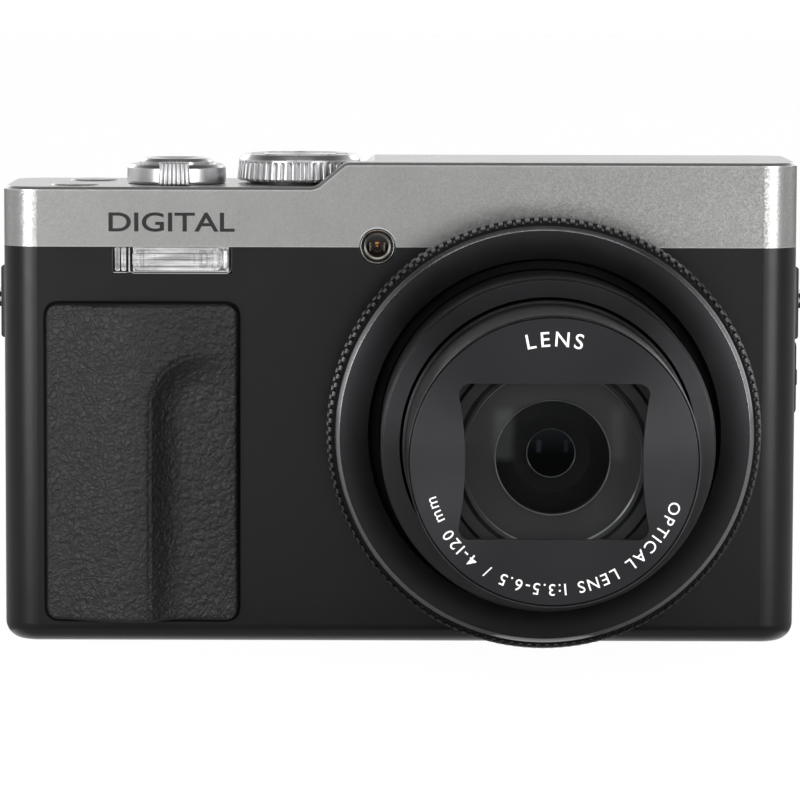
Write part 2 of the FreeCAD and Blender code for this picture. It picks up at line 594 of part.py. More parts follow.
def battery_door():
    """Plate with a hollowed hinge edge, an arm and a knuckle, and the latch's slot."""
    x0, x1, y0, y1 = DOOR
    plate = box(x0, x1 - 0.7, y0, y1, 0, DOOR_THICK)
    plate = plate.cut(rod_y(R_DOOR_EDGE, y0 - 1, y1 + 1, DOOR_AXIS_X, DOOR_AXIS_Z))
    web = box(x1 - 1.3, DOOR_AXIS_X, *DOOR_WEB, 0.35, DOOR_THICK)
    knuckle = rod_y(R_DOOR_KNUCKLE, *DOOR_WEB, DOOR_AXIS_X, DOOR_AXIS_Z)
    door = plate.fuse([web, knuckle]).removeSplitter()
    slot = box(LOCK[0] - LOCK_TRAVEL - 0.2, LOCK[1] + 0.1, LOCK[2] - 0.1, LOCK[3] + 0.1, -1, 1.0)
    return door.cut([rod_y(R_DOOR_BORE, y0, y1, DOOR_AXIS_X, DOOR_AXIS_Z), slot])


def door_lock():
    x0, x1, y0, y1 = LOCK
    slider = box(x0, x1, y0, y1, 0.1, 0.95)
    grooves = [box(x0 + 0.5 + 0.8 * i, x0 + 0.8 + 0.8 * i, y0 + 0.5, y1 - 0.5, 0, 0.3) for i in range(3)]
    return slider.cut(grooves)


def tripod_socket():
    """Flanged bush with a blind hole: the thread's wall, then an undercut behind it."""
    block = rod_z(R_SOCKET_BODY, 0, 6.5, 0, 0).fuse(rod_z(5.6, WALL + GAP, 2.6, 0, 0)).removeSplitter()
    relief_r, relief_end = SOCKET_RELIEF
    relief = rod_z(relief_r, SOCKET_DEPTH, relief_end, 0, 0)
    return block.cut([rod_z(SOCKET_R, -1, SOCKET_DEPTH, 0, 0), relief])


def case_screws():
    found = []
    for x, y in SCREWS_XY:
        head = rod_z(1.5, 0.05, 0.65, x, y).fuse(rod_z(0.8, 0.65, 4.5, x, y)).removeSplitter()
        cross = [box(x - a, x + a, y - b, y + b, 0, 0.4) for a, b in ((0.9, 0.2), (0.2, 0.9))]
        found.append(head.cut(cross))
    return Part.makeCompound(found)


def usb_hdmi_ports():
    body = box(47.5, 54.9, -4.0, 4.0, 32.8, 41.4)
    sockets = [round_rect(-3.2, 3.2, 33.4, 36.4, 0.8, -9, 9), round_rect(-3.6, 3.6, 37.6, 40.6, 0.8, -9, 9)]
    for socket in sockets:
        socket.rotate(V(0, 0, 0), AXIS_Z, 90)
        socket.translate(V(60, 0, 0))
    return body.cut(sockets)


# ---- sides --------------------------------------------------------------------------------
def lug_plates():
    """Raised guards round the strap lugs, one on each side, with a channel for the cord."""
    found = []
    y0, y1, z0, z1 = LUG_PLATE
    for side in (-1, 1):
        plate = box(55.55, 56.85, y0, y1, z0, z1)
        edges = [e for e in plate.Edges if e.Vertexes[0].X > 56.8 and e.Vertexes[-1].X > 56.8]
        plate = plate.makeFillet(0.5, edges)
        plate = plate.cut(box(56.2, 58, y0 + 0.9, y1 - 0.9, z0 + 1.5, z1 - 1.5))
        plate = plate.cut([rod_x(0.65, 55, 58, y, LUG_Z) for y in LUG_FEET])
        if side < 0:
            plate.rotate(V(0, 0, 0), AXIS_Z, 180)
        found.append(plate)
    return Part.makeCompound(found)


def strap_lugs():
    """A bent steel bar on each side: two feet through the shell and a bar that the strap loops round."""
    found = []
    for side in (-1, 1):
        bar = box(56.9, 57.9, -4.0, 4.0, LUG_Z - 1.05, LUG_Z + 1.05)
        upright = [e for e in bar.Edges if abs(e.Vertexes[0].Z - e.Vertexes[-1].Z) > 1]
        bar = bar.makeFillet(0.4, upright)
        feet = [rod_x(0.6, 53.8, 57.0, y, LUG_Z) for y in LUG_FEET]
        lug = bar.fuse(feet).removeSplitter()
        if side < 0:
            lug.rotate(V(0, 0, 0), AXIS_Z, 180)
        found.append(lug)
    return Part.makeCompound(found)


def port_door():
    y0, y1, z0, z1 = PORT
    plate = box(55.55, 56.8, y0, y1, z0, z1)
    edges = [e for e in plate.Edges if e.Vertexes[0].X > 56.7 and e.Vertexes[-1].X > 56.7]
    plate = plate.makeFillet(0.4, edges)
    knuckle = rod_z(0.45, z0, z1, PORT_AXIS_X, PORT_AXIS_Y)
    return plate.fuse(knuckle).removeSplitter()


# ---- back ---------------------------------------------------------------------------------
def knuckle_x(x0, x1):
    return rod_x(R_KNUCKLE, x0, x1, HINGE_Y, HINGE_Z)


def screen_hinge():
    """Fixed hinge block on the rear shell: a foot and two knuckles."""
    left, right = HINGE_X
    foot = box(left, right, 12.05, 13.0, 53.05, 54.8)
    arms = []
    for x0, x1 in ((left, left + KNUCKLE_LEN), (right - KNUCKLE_LEN, right)):
        arms.append(knuckle_x(x0, x1))
        arms.append(box(x0, x1, 12.9, HINGE_Y, HINGE_Z - 0.2, 54.6))
    bore = rod_x(R_HINGE_BORE, left - 1, right + 1, HINGE_Y, HINGE_Z)
    return foot.fuse(arms).removeSplitter().cut(bore)


def hinge_pins():
    """Steel pins of the battery door and of the screen."""
    door_pin = rod_y(R_DOOR_PIN, DOOR[2], DOOR[3] + 0.2, DOOR_AXIS_X, DOOR_AXIS_Z)
    screen_pin = rod_x(R_HINGE_BORE - 0.04, HINGE_X[0] + 0.2, HINGE_X[1] - 0.2, HINGE_Y, HINGE_Z)
    return Part.makeCompound([door_pin, screen_pin])


def screen_housing():
    x0, x1, z0, z1 = SCREEN
    y0, y1 = Y_SCREEN
    tray = round_rect(x0, x1, z0, z1, 1.2, y0, y1 - 0.35)
    tray = tray.cut(round_rect(x0 + 1.0, x1 - 1.0, z0 + 1.0, z1 - 1.0, 0.8, y0 + 1.6, y1))
    rim = round_rect(x0, x1, z0, z1, 1.2, y1 - 0.4, y1)
    rim = rim.cut(round_rect(x0 + 0.7, x1 - 0.7, z0 + 0.7, z1 - 0.7, 0.8, y1 - 1, y1 + 1))
    left, right = HINGE_X
    inner_left = left + KNUCKLE_LEN + 0.3
    inner_right = right - KNUCKLE_LEN - 0.3
    body = tray.fuse(rim)
    room = ((left - 0.2, inner_left - 0.1), (inner_right + 0.1, right + 0.2))
    body = body.cut([rod_x(R_KNUCKLE + 0.25, a, b, HINGE_Y, HINGE_Z) for a, b in room])
    arm = box(inner_left, inner_right, 13.4, 14.3, 51.9, HINGE_Z)
    middle = knuckle_x(inner_left, inner_right).fuse(arm)
    body = body.fuse(middle).removeSplitter()
    return body.cut(rod_x(R_HINGE_BORE, left - 1, right + 1, HINGE_Y, HINGE_Z))


def screen_glass():
    x0, x1, z0, z1 = SCREEN
    y1 = Y_SCREEN[1]
    return round_rect(x0 + 1.05, x1 - 1.05, z0 + 1.05, z1 - 1.6, 0.75, y1 - 2.85, y1 - 0.42)


def eyepiece_cup():
    outer = round_rect(EYE_X - 10.4, EYE_X + 10.4, EYE_Z - 4.9, EYE_Z + 4.9, 2.2, BACK, BACK + 1.0)
    edge = [e for e in outer.Edges if e.Vertexes[0].Y > BACK + 0.9 and e.Vertexes[-1].Y > BACK + 0.9]
    outer = outer.makeFillet(0.5, edge)
    neck = round_rect(EYE_X - EYE_TUBE[0], EYE_X + EYE_TUBE[0], EYE_Z - EYE_TUBE[1], EYE_Z + EYE_TUBE[1],
                      1.0, BACK - 1.9, BACK + 0.2)
    hole = round_rect(EYE_X - 5.4, EYE_X + 5.4, EYE_Z - 3.0, EYE_Z + 3.0, 1.2, 8, BACK + 2)
    return outer.fuse(neck).removeSplitter().cut(hole)


def eyepiece_lens():
    return round_rect(EYE_X - 5.3, EYE_X + 5.3, EYE_Z - 2.9, EYE_Z + 2.9, 1.1, BACK - 1.8, BACK - 0.6)


def viewfinder_module():
    return box(EYE_X - 7.0, EYE_X + 7.0, -3.0, 10.2, EYE_Z - 4.0, EYE_Z + 4.2)


def diopter_dial():
    z0, z1 = Z_DIOPTER
    start = V(DIOPTER_X, DIOPTER_Y, z0)
    wheel = toothed(R_DIOPTER, 0.25, 30, start, z1 - z0, AXIS_Z, AXIS_X)
    return wheel.cut(rod_z(0.65, 59, 64, DIOPTER_X, DIOPTER_Y))


def rear_dial():
    low, high = Y_REAR_DIAL
    start = V(REAR_DIAL_X, low, REAR_DIAL_Z)
    wheel = toothed(R_REAR_DIAL, 0.25, 60, start, high - low, AXIS_Y, AXIS_X)
    bore = R_SET + 0.35
    cap = turned([(bore, low), (R_REAR_DIAL + 1, low), (R_REAR_DIAL + 1, high - 0.6),
                  (R_REAR_DIAL - 0.5, high), (7.6, high - 0.2), (bore + 0.3, high - 0.2), (bore, high - 0.4)],
                 REAR_DIAL_X, REAR_DIAL_Z)
    return wheel.common(cap)


def set_button():
    high = 14.15
    return turned([(0, 10.0), (R_SET_STEM, 10.0), (R_SET_STEM, 12.9), (R_SET, 12.9), (R_SET, high - 0.25),
                   (R_SET - 0.35, high), (0, high)], REAR_DIAL_X, REAR_DIAL_Z)


def rear_button(x, z, r):
    return turned([(0, 11.0), (r + 0.5, 11.0), (r + 0.5, 11.55), (r, 11.55), (r, 13.75), (r - 0.3, 14.0),
                   (0, 14.0)], x, z)


def viewfinder_button():
    x0, x1, z0, z1 = VIEW_BUTTON
    cap = round_rect(x0, x1, z0, z1, 0.9, BACK - 3.2, BACK + 0.45)
    edge = [e for e in cap.Edges if e.Vertexes[0].Y > BACK + 0.4 and e.Vertexes[-1].Y > BACK + 0.4]
    flange = round_rect(x0 - 0.5, x1 + 0.5, z0 - 0.5, z1 + 0.5, 0.9, BACK - 3.2, BACK - 2.5)
    return cap.makeChamfer(0.25, edge).fuse(flange).removeSplitter()


PARTS = {
    "front_cover": front_cover,
    "rear_cover": rear_cover,
    "top_cover": top_cover,
    "front_grip": front_grip,
    "thumb_rest": thumb_rest,
    "flash_window": flash_window,
    "flash_reflector": flash_reflector,
    "flash_tube": flash_tube,
    "af_lamp_bezel": af_lamp_bezel,
    "af_lamp_lens": af_lamp_lens,
    "mode_dial": mode_dial,
    "mode_dial_base": mode_dial_base,
    "zoom_lever": zoom_lever,
    "shutter_button": shutter_button,
    "power_button": lambda: top_button(*POWER_XY),
    "record_button": lambda: top_button(*RECORD_XY),
    "lens_collar": lens_collar,
    "control_ring": control_ring,
    "lens_front_bezel": lens_front_bezel,
    "lens_housing": lens_housing,
    "outer_barrel": outer_barrel,
    "middle_barrel": middle_barrel,
    "inner_barrel": inner_barrel,
    "lens_front_ring": lens_front_ring,
    "barrier_blade_upper": lambda: barrier_blade(1, Y_INNER + 1.7),
    "barrier_blade_lower": lambda: barrier_blade(-1, Y_INNER + 1.7),
    "barrier_leaf_upper": lambda: barrier_blade(1, Y_INNER + 2.0),
    "barrier_leaf_lower": lambda: barrier_blade(-1, Y_INNER + 2.0),
    "front_lens": front_lens,
    "lens_cell": lens_cell,
    "iris_unit": iris_unit,
    "second_lens": second_lens,
    "image_sensor": image_sensor,
    "chassis": chassis,
    "main_board": main_board,
    "zoom_motor": zoom_motor,
    "battery_box": battery_box,
    "battery": battery,
    "battery_door": battery_door,
    "door_lock": door_lock,
    "tripod_socket": tripod_socket,
    "case_screws": case_screws,
    "usb_hdmi_ports": usb_hdmi_ports,
    "port_door": port_door,
    "lug_plates": lug_plates,
    "strap_lugs": strap_lugs,
    "screen_hinge": screen_hinge,
    "hinge_pins": hinge_pins,
    "screen_housing": screen_housing,
    "screen_glass": screen_glass,
    "eyepiece_cup": eyepiece_cup,
    "eyepiece_lens": eyepiece_lens,
    "viewfinder_module": viewfinder_module,
    "diopter_dial": diopter_dial,
    "rear_dial": rear_dial,
    "set_button": set_button,
    "viewfinder_button": viewfinder_button,
}
for button_name, button_place in REAR_BUTTONS.items():
    PARTS[button_name] = lambda place=button_place: rear_button(*place)

os.makedirs("parts", exist_ok=True)
for name, build in PARTS.items():
    shape = build()
    for solid in shape.Solids:
        if not solid.isValid() or solid.Volume <= 0:
            raise SystemExit(name + " holds a bad solid")
    shape.exportStep("parts/" + name + ".step")
    print(name, len(shape.Solids), round(shape.Volume, 1))
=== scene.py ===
from math import cos, degrees, hypot, pi, radians, sin, sqrt, tan

import bmesh
import bpy
from mathutils import Matrix, Vector, noise


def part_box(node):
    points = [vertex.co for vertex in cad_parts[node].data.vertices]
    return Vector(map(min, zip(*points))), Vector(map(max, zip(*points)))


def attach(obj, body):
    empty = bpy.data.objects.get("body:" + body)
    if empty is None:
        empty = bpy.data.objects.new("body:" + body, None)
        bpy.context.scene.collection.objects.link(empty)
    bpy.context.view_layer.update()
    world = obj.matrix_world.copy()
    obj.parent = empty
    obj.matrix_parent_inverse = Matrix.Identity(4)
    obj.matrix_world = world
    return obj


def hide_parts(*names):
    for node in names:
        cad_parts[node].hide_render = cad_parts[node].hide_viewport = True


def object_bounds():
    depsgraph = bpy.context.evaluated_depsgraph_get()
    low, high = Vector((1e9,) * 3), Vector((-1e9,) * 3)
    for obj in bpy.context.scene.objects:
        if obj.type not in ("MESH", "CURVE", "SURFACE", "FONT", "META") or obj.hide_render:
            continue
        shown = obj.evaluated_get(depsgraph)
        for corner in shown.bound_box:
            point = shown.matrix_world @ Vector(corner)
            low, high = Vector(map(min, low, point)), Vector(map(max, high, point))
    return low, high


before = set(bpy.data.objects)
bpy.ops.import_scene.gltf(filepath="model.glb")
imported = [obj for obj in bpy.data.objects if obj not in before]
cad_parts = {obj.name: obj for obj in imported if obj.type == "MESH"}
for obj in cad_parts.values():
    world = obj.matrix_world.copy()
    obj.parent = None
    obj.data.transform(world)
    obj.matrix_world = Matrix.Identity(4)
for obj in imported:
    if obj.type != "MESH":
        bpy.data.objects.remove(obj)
CAD_LOW, CAD_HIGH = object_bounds()
noise.seed_set(1)  # noise_vector's offsets would otherwise come from the clock

MM = 0.001
BODY = "camera_body"
FRONT_GLOW = 0.52  # brightness of the studio in front of the camera body
BACK_GLOW = 1.15  # and behind it
INK = 0.04  # thickness of printed letters


# ---- places read from the frame ----
def measures(node):
    """Lowest and highest corner of a CAD node, its centre and half its width, in millimetres."""
    low, high = (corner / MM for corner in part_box(node))
    return low, high, (low + high) / 2, (high.x - low.x) / 2


def span(node):
    return measures(node)[:2]


def middle(node):
    return measures(node)[2]


LENS = middle("control_ring")  # the lens's axis runs through this point, along Y
FRONT = span("front_cover")[0].y
BACK = span("rear_cover")[1].y
LENS_TIP = span("lens_front_ring")[0].y


# ---- shader helpers, which add to the tree that new_tree() sets ----
def rgba(colour):
    """Red, green, blue and alpha from a grey or a colour."""
    return (*colour, 1) if isinstance(colour, (list, tuple)) else (colour, colour, colour, 1)


def add(kind, inputs=None, **settings):
    """A shader node; an input is another node's socket, or a value."""
    made = tree.nodes.new("ShaderNode" + kind)
    for key, value in settings.items():
        setattr(made, key, value)
    for key, value in (inputs or {}).items():
        if isinstance(value, bpy.types.NodeSocket):
            tree.links.new(value, made.inputs[key])
        else:
            made.inputs[key].default_value = rgba(value) if made.inputs[key].type == "RGBA" else value
    return made


def out(kind, inputs=None, **settings):
    """The first output of a new shader node."""
    return add(kind, inputs, **settings).outputs[0]


def maths(operation, a, b=0.0, clamp=False):
    return out("Math", {0: a, 1: b}, operation=operation, use_clamp=clamp)


def times(product, *factors, clamp=False):
    for factor in factors:
        product = maths("MULTIPLY", product, factor, clamp)
    return product


def millimetres(stretch=(1, 1, 1)):
    """Object coordinates in millimetres, optionally stretched."""
    inputs = {"Vector": add("TexCoord").outputs["Object"], "Scale": [1 / MM / s for s in stretch]}
    return out("Mapping", inputs)


def speckle(size, detail=2.0, stretch=(1, 1, 1)):
    """Noise with features of about size millimetres, from 0 to 1."""
    inputs = {"Vector": millimetres(stretch), "Scale": 1 / size, "Detail": detail}
    return add("TexNoise", inputs).outputs["Fac"]


def ramp(value, low, high, to_low=0.0, to_high=1.0):
    inputs = {"Value": value, "From Min": low, "From Max": high, "To Min": to_low, "To Max": to_high}
    return out("MapRange", inputs)


def blend_colour(factor, a, b, mode="MIX"):
    return add("Mix", {0: factor, 6: a, 7: b}, data_type="RGBA", blend_type=mode).outputs[2]


def blend_value(factor, a, b):
    return out("Mix", {0: factor, 2: a, 3: b}, data_type="FLOAT")


def uneven(size, detail, low, high):
    """A value that wanders between low and high over patches of about size millimetres."""
    return ramp(speckle(size, detail), 0.3, 0.7, low, high)


def grey(level):
    return out("CombineColor", {0: level, 1: level, 2: level})


def bump(height, depth, **more):
    """A normal roughened by a height from 0 to 1, which stands for depth millimetres."""
    return out("Bump", {"Height": height, "Distance": depth * MM, **more})


def vector_maths(operation, inputs):
    made = add("VectorMath", inputs, operation=operation)
    return made.outputs["Value" if operation == "DOT_PRODUCT" else 0]


def strayed(vector, colour, reach):
    """The vector moved some way along each axis, by reach times a random colour."""
    centred = vector_maths("SUBTRACT", {0: colour, 1: (0.5, 0.5, 0.5)})
    return vector_maths("ADD", {0: vector, 1: vector_maths("SCALE", {0: centred, "Scale": reach})})


def parts_of(vector):
    return add("SeparateXYZ", {0: vector}).outputs


def edge_mask(radius):
    """1 along convex and concave edges, 0 on flat ground; also the rounded normal."""
    soft = out("Bevel", {"Radius": radius * MM}, samples=6)
    true = add("NewGeometry").outputs["Normal"]
    facing = vector_maths("DOT_PRODUCT", {0: soft, 1: true})
    return ramp(facing, 0.995, 0.85), soft


def new_tree(owner):
    """Empties a material's or world's node tree, and makes it the one that the helpers add to."""
    global tree
    owner.use_nodes = True
    tree = owner.node_tree
    tree.nodes.clear()


def new_material(name):
    made = bpy.data.materials.new(name)
    new_tree(made)
    return made


def close(shader):
    add("OutputMaterial", {"Surface": shader})


def principled(inputs):
    close(out("BsdfPrincipled", inputs))


def solid_material(name, colour, rough, metal=0.0, grain=0.02, pitch=0.25, worn=1.35, edge=0.12,
                   spun=None, specular=0.5, glow=0.0):
    """A finished surface: grain in the bump, patchy roughness, faint mottling and brighter rubbed edges.

    grain is its depth and pitch its width, worn how much brighter the edges are, edge their width, spun
    the axis of turned metal's grooves, and glow the strength of a painted glow in the surface's own colour.
    """
    made = new_material(name)
    brightened_edges, soft = edge_mask(edge)
    brightened_edges = times(brightened_edges, ramp(speckle(1.7, 4), 0.35, 0.65), clamp=True)
    patch = grey(uneven(14, 3, 0.94, 1.06))
    base = blend_colour(1.0, colour, patch, "MULTIPLY")
    lighter = [min(1, c * worn + 0.004) for c in rgba(colour)[:3]]
    shade = blend_colour(brightened_edges, base, lighter)
    inputs = {"Base Color": shade, "Roughness": uneven(4, 5, rough * 0.94, rough * 1.12),
              "Metallic": metal, "Normal": bump(speckle(pitch, 2), grain, Normal=soft),
              "Specular IOR Level": specular, "Emission Color": shade, "Emission Strength": glow}
    if spun:
        inputs |= {"Anisotropic": 0.88, "Anisotropic Rotation": 0.25,  # highlights lie across the grooves
                   "Tangent": out("Tangent", direction_type="RADIAL", axis=spun)}
    principled(inputs)
    return made


def metal_material(name, colour, rough, grain=0.0006, **more):
    return solid_material(name, colour, rough, metal=1.0, grain=grain, **more)


def sparkle_paint(name, colour, rough, highlight_above):
    """Metallic paint: flakes tilted and tinted a little differently; edges above a height are painted bright,
    a painted highlight.
    """
    made = new_material(name)
    place = millimetres()
    brightened_edges, _ = edge_mask(0.4)
    cut = ramp(parts_of(place)[2], highlight_above, highlight_above + 0.8, 0.3, 2.4)
    brightened_edges = times(brightened_edges, cut, clamp=True)
    flake_size, flake_tilt = 0.17, 0.10
    flakes = add("TexVoronoi", {"Vector": place, "Scale": 1 / flake_size}).outputs["Color"]
    glint = ramp(out("SeparateColor", {"Color": flakes}), 0, 1, 0.90, 1.10)
    glint = grey(times(glint, uneven(20, 3, 0.985, 1.015)))
    shade = blend_colour(1.0, colour, glint, "MULTIPLY")
    # painted highlight: edges above the height, and faintly those below it, get a lighter colour for the
    # bright line along the cover's upper edge
    bright = blend_colour(brightened_edges, shade, [c * 2.1 for c in colour])
    crisp = add("NewGeometry").outputs["Normal"]
    normal = vector_maths("NORMALIZE", {0: strayed(crisp, flakes, flake_tilt)})
    slant = add("LayerWeight", {"Blend": 0.5}).outputs["Facing"]  # it reflects most at grazing angles
    principled({
        "Base Color": bright, "Metallic": 0.82, "Roughness": uneven(5, 4, rough * 0.96, rough * 1.08),
        "Normal": normal, "Specular Tint": grey(ramp(slant, 0.78, 0.90, 0.4, 1.0)),
        "Coat Weight": 0.12, "Coat Roughness": 0.30})
    return made


def leather_rubber(name, colour, rough, cell):
    """Moulded rubber with a leather grain: rounded cells parted by fine creases, which are painted darker as
    painted shade.
    """
    made = new_material(name)
    brightened_edges, soft = edge_mask(0.3)
    place = millimetres()
    warp = add("TexNoise", {"Vector": place, "Scale": 0.9, "Detail": 3.0}).outputs["Color"]
    crumpled = strayed(place, warp, 1.3)
    cells = add("TexVoronoi", {"Vector": crumpled, "Scale": 1 / cell}, feature="DISTANCE_TO_EDGE")
    crease = ramp(cells.outputs["Distance"], 0.0, 0.28)
    pores = times(speckle(0.22, 3), 0.35)
    # painted shade: the creases are coloured darker
    shade = blend_colour(crease, [c * 0.72 for c in colour], colour)
    shade = blend_colour(times(brightened_edges, 0.4), shade, [c * 1.5 for c in colour])
    principled({
        "Base Color": shade, "Roughness": uneven(3, 4, rough * 0.92, rough * 1.08),
        "Normal": bump(maths("ADD", crease, pores), 0.07, Strength=0.8, Normal=soft),
        "Specular IOR Level": 0.4})
    return made


def band(value, low, high, soft=0.02):
    """1 between low and high, falling softly to 0 outside."""
    rise = ramp(value, low - soft, low + soft)
    fall = ramp(value, high - soft, high + soft, 1.0, 0.0)
    return times(rise, fall)


def clear_material(name, tint, film=(1, 1, 1), gleam=1.0):
    """Clear glass under a painted reflection of two tall windows, given out as emission of tint film and
    strength gleam.
    """
    made = new_material(name)
    way = parts_of(add("TexCoord").outputs["Reflection"])
    upright = band(way[2], -0.11, 0.12)
    left = times(band(way[0], -0.231, -0.145), 0.62)
    right = times(band(way[0], 0.30, 0.362), 0.36)
    windows = times(maths("ADD", left, right), upright)
    above = ramp(way[2], -0.1, 0.9, 0.02, 0.5)
    smudge = ramp(speckle(5, 4), 0.35, 0.65, 0.9, 1.1)
    light = times(maths("ADD", windows, above), smudge)
    glance = out("Fresnel", {"IOR": 1.5})
    # painted reflection: the windows and the light above are emission, not a mirror image
    shine = out("Emission", {"Color": film, "Strength": times(glance, light, gleam)})
    through = out("BsdfTransparent", {"Color": tint})
    close(out("AddShader", {0: through, 1: shine}))
    return made


def knurl_material(name, dark, bright):
    """Black anodised metal whose teeth are painted brighter at their tops than in the grooves, a painted
    highlight.
    """
    made = new_material(name)
    height = add("Attribute", attribute_name="tip").outputs["Fac"]
    # painted highlight: the tooth tops are coloured lighter than the grooves
    top = times(ramp(height, 0.3, 0.95), uneven(1.5, 3, 0.8, 1.2), clamp=True)
    principled({"Base Color": blend_colour(top, dark, bright), "Metallic": 1.0,
                "Roughness": uneven(3, 4, 0.30, 0.38), "Normal": bump(speckle(0.1, 2), 0.002)})
    return made


def flash_mirror(name, low, high):
    """Bright mirror behind a ruled diffuser, its reflections painted: four bands parted by dark lines,
    crossed by fine ones, with brighter ends and a painted glow.
    """
    made = new_material(name)
    place = parts_of(millimetres())
    share = ramp(place[2], low.z, high.z)
    wave = maths("SINE", times(share, 4 * pi))
    rows = ramp(maths("ABSOLUTE", wave), 0.05, 0.5, 0.30, 1.0)
    ends = maths("ABSOLUTE", ramp(place[0], low.x, high.x, -1.0, 1.0))
    lines = speckle(0.5, 1, (1, 1, 40))
    plaid = ramp(lines, 0.40, 0.50, 0.62, 1.0)
    plaid = blend_value(ramp(ends, 0.2, 0.5), 1.0, plaid)
    # painted reflection: the bands, fine lines, patches and bright ends are all in the colour
    bright = blend_value(ramp(ends, 0.3, 1.0), rows, 1.0)
    patch = ramp(speckle(1.2, 2, (5, 1, 1)), 0.35, 0.65, 0.45, 0.80)
    colour = grey(times(bright, plaid, patch))
    # painted glow: the mirror gives out its own colour as emission
    principled({"Base Color": colour, "Metallic": 0.6, "Roughness": 0.35,
                "Normal": bump(lines, 0.02), "Emission Color": colour, "Emission Strength": 0.18})
    return made


def screen_material(name, low, high):
    """Black glass with a slightly lighter picture area between the two corners, in millimetres."""
    made = new_material(name)
    place = parts_of(millimetres())
    sides = [maths("GREATER_THAN", place[axis], low[axis]) for axis in (0, 2)]
    sides += [maths("LESS_THAN", place[axis], high[axis]) for axis in (0, 2)]
    inside = times(*sides)
    shade = blend_colour(inside, 0.003, (0.011, 0.012, 0.014))
    smudge = ramp(speckle(9, 5), 0.4, 0.75, 0.05, 0.16)
    principled({"Base Color": shade, "Roughness": smudge, "Coat Weight": 0.3})
    return made


def finishes(maker, table):
    """Materials from a table of name: (colour, roughness, settings)."""
    return {name: maker(name, colour, rough, **more) for name, (colour, rough, more) in table.items()}


flash_low, flash_high = span("flash_window")
SILVER, ANODISED, RIM_GREY = (0.53, 0.53, 0.54), (0.052, 0.051, 0.054), (0.26, 0.26, 0.27)
FINISH = finishes(solid_material, {
    "black_shell": (0.0022, 0.293, dict(grain=0.006, pitch=0.14, worn=2.6, edge=0.15, specular=0.42)),
    "black_control": (0.007, 0.36, dict(grain=0.006, pitch=0.18, worn=2.2)),
    "name_ring": ((0.050, 0.048, 0.052), 0.32, dict(metal=0.95, grain=0.0008, pitch=0.1, worn=1.6,
                                                    edge=0.06, spun="Y")),
    "lens_inner": (0.0015, 0.6, dict(grain=0.01, pitch=0.2, worn=2.0, specular=0.1)),
    "lens_mask": ((0.023, 0.023, 0.024), 0.45, dict(grain=0.002, pitch=0.2, worn=1.2, specular=0.25)),
    "blade": (0.012, 0.42, dict(metal=0.3, grain=0.004, pitch=0.15, worn=2.5)),
    "lamp_amber": ((0.62, 0.26, 0.04), 0.3, dict(grain=0.01, worn=1.3, specular=0.6)),
    "lamp_cup": ((0.022, 0.018, 0.016), 0.295, dict(metal=0.8, grain=0.003, worn=1.6)),
    "board": ((0.012, 0.075, 0.03), 0.4, dict(grain=0.01, pitch=0.5, worn=1.3)),
    "silicon": ((0.06, 0.04, 0.09), 0.15, dict(metal=0.8, grain=0.001, pitch=0.1)),
    "frame_metal": ((0.50, 0.51, 0.52), 0.38, dict(metal=0.95, grain=0.004, worn=1.2)),
    "black_steel": (0.03, 0.35, dict(metal=0.7, grain=0.004, worn=2.5)),
    "battery_wrap": (0.035, 0.45, dict(grain=0.006, worn=1.4)),
    "soft_rubber": (0.010, 0.58, dict(grain=0.02, pitch=0.3, worn=1.8, edge=0.3, specular=0.35)),
    # near-black matte for the painted shade round the grip pad
    "seam": (0.002, 0.7, dict(grain=0.004, worn=1.0, specular=0.1)),
    # print_white and print_grey glow: a painted glow in the print's own colour
    "print_white": (0.85, 0.5, dict(grain=0.002, worn=1.0, glow=0.45)),
    "print_dark": (0.012, 0.35, dict(grain=0.004, worn=1.0)),
    "print_grey": (0.45, 0.5, dict(grain=0.002, worn=1.0, glow=0.1)),
})
FINISH |= finishes(metal_material, {
    "silver_control": (SILVER, 0.293, dict(pitch=0.12, worn=1.1, edge=0.08)),
    "silver_spun": (SILVER, 0.293, dict(pitch=0.12, worn=1.1, edge=0.08, spun="Z")),
    "lens_black": (ANODISED, 0.33, dict(grain=0.0008, pitch=0.12, worn=1.5, edge=0.06, spun="Y")),
    "lens_rim": (RIM_GREY, 0.24, dict(grain=0.0005, pitch=0.12, worn=1.3, edge=0.06, spun="Y")),
    "lens_line": ((0.16, 0.17, 0.17), 0.30, dict(grain=0.0005, worn=1.1)),
    "barrel_black": (ANODISED, 0.293, dict(pitch=0.2, worn=2.6, edge=0.06, spun="Y")),
    "reflector": ((0.93, 0.93, 0.92), 0.20, dict(grain=0.002, worn=1.0)),
    "lamp_rim": (0.30, 0.18, dict(grain=0.0005, worn=2.2, edge=0.1)),
    "steel": ((0.60, 0.59, 0.57), 0.25, dict(grain=0.003, pitch=0.15, worn=1.2)),
    "motor_can": (0.5, 0.3, dict(grain=0.003, worn=1.2)),
})
FINISH |= {
    "silver_cover": sparkle_paint("silver_cover", (0.44, 0.445, 0.435), 0.29, flash_high.z + 1),
    "grip_rubber": leather_rubber("grip_rubber", (0.016, 0.0155, 0.016), 0.43, 0.8),
    "lens_knurl": knurl_material("lens_knurl", 0.016, 0.10),
    "flash_mirror": flash_mirror("flash_mirror", flash_low, flash_high),
    "optical_glass": clear_material("optical_glass", (0.95, 0.94, 0.945), (0.90, 1.0, 0.96)),
    "inner_glass": clear_material("inner_glass", (0.55, 0.60, 0.62), (0.62, 0.66, 0.9), 0.8),
    "flash_lens": clear_material("flash_lens", 0.97, gleam=1.5),
    "lamp_lens": clear_material("lamp_lens", (0.86, 0.80, 0.72), gleam=1.8),
}
glass_low, glass_high = span("screen_glass")
BORDER = Vector((2.2, 0, 2.2))  # black border round the picture area
FINISH["screen_glass"] = screen_material("screen_glass", glass_low + BORDER, glass_high - BORDER)


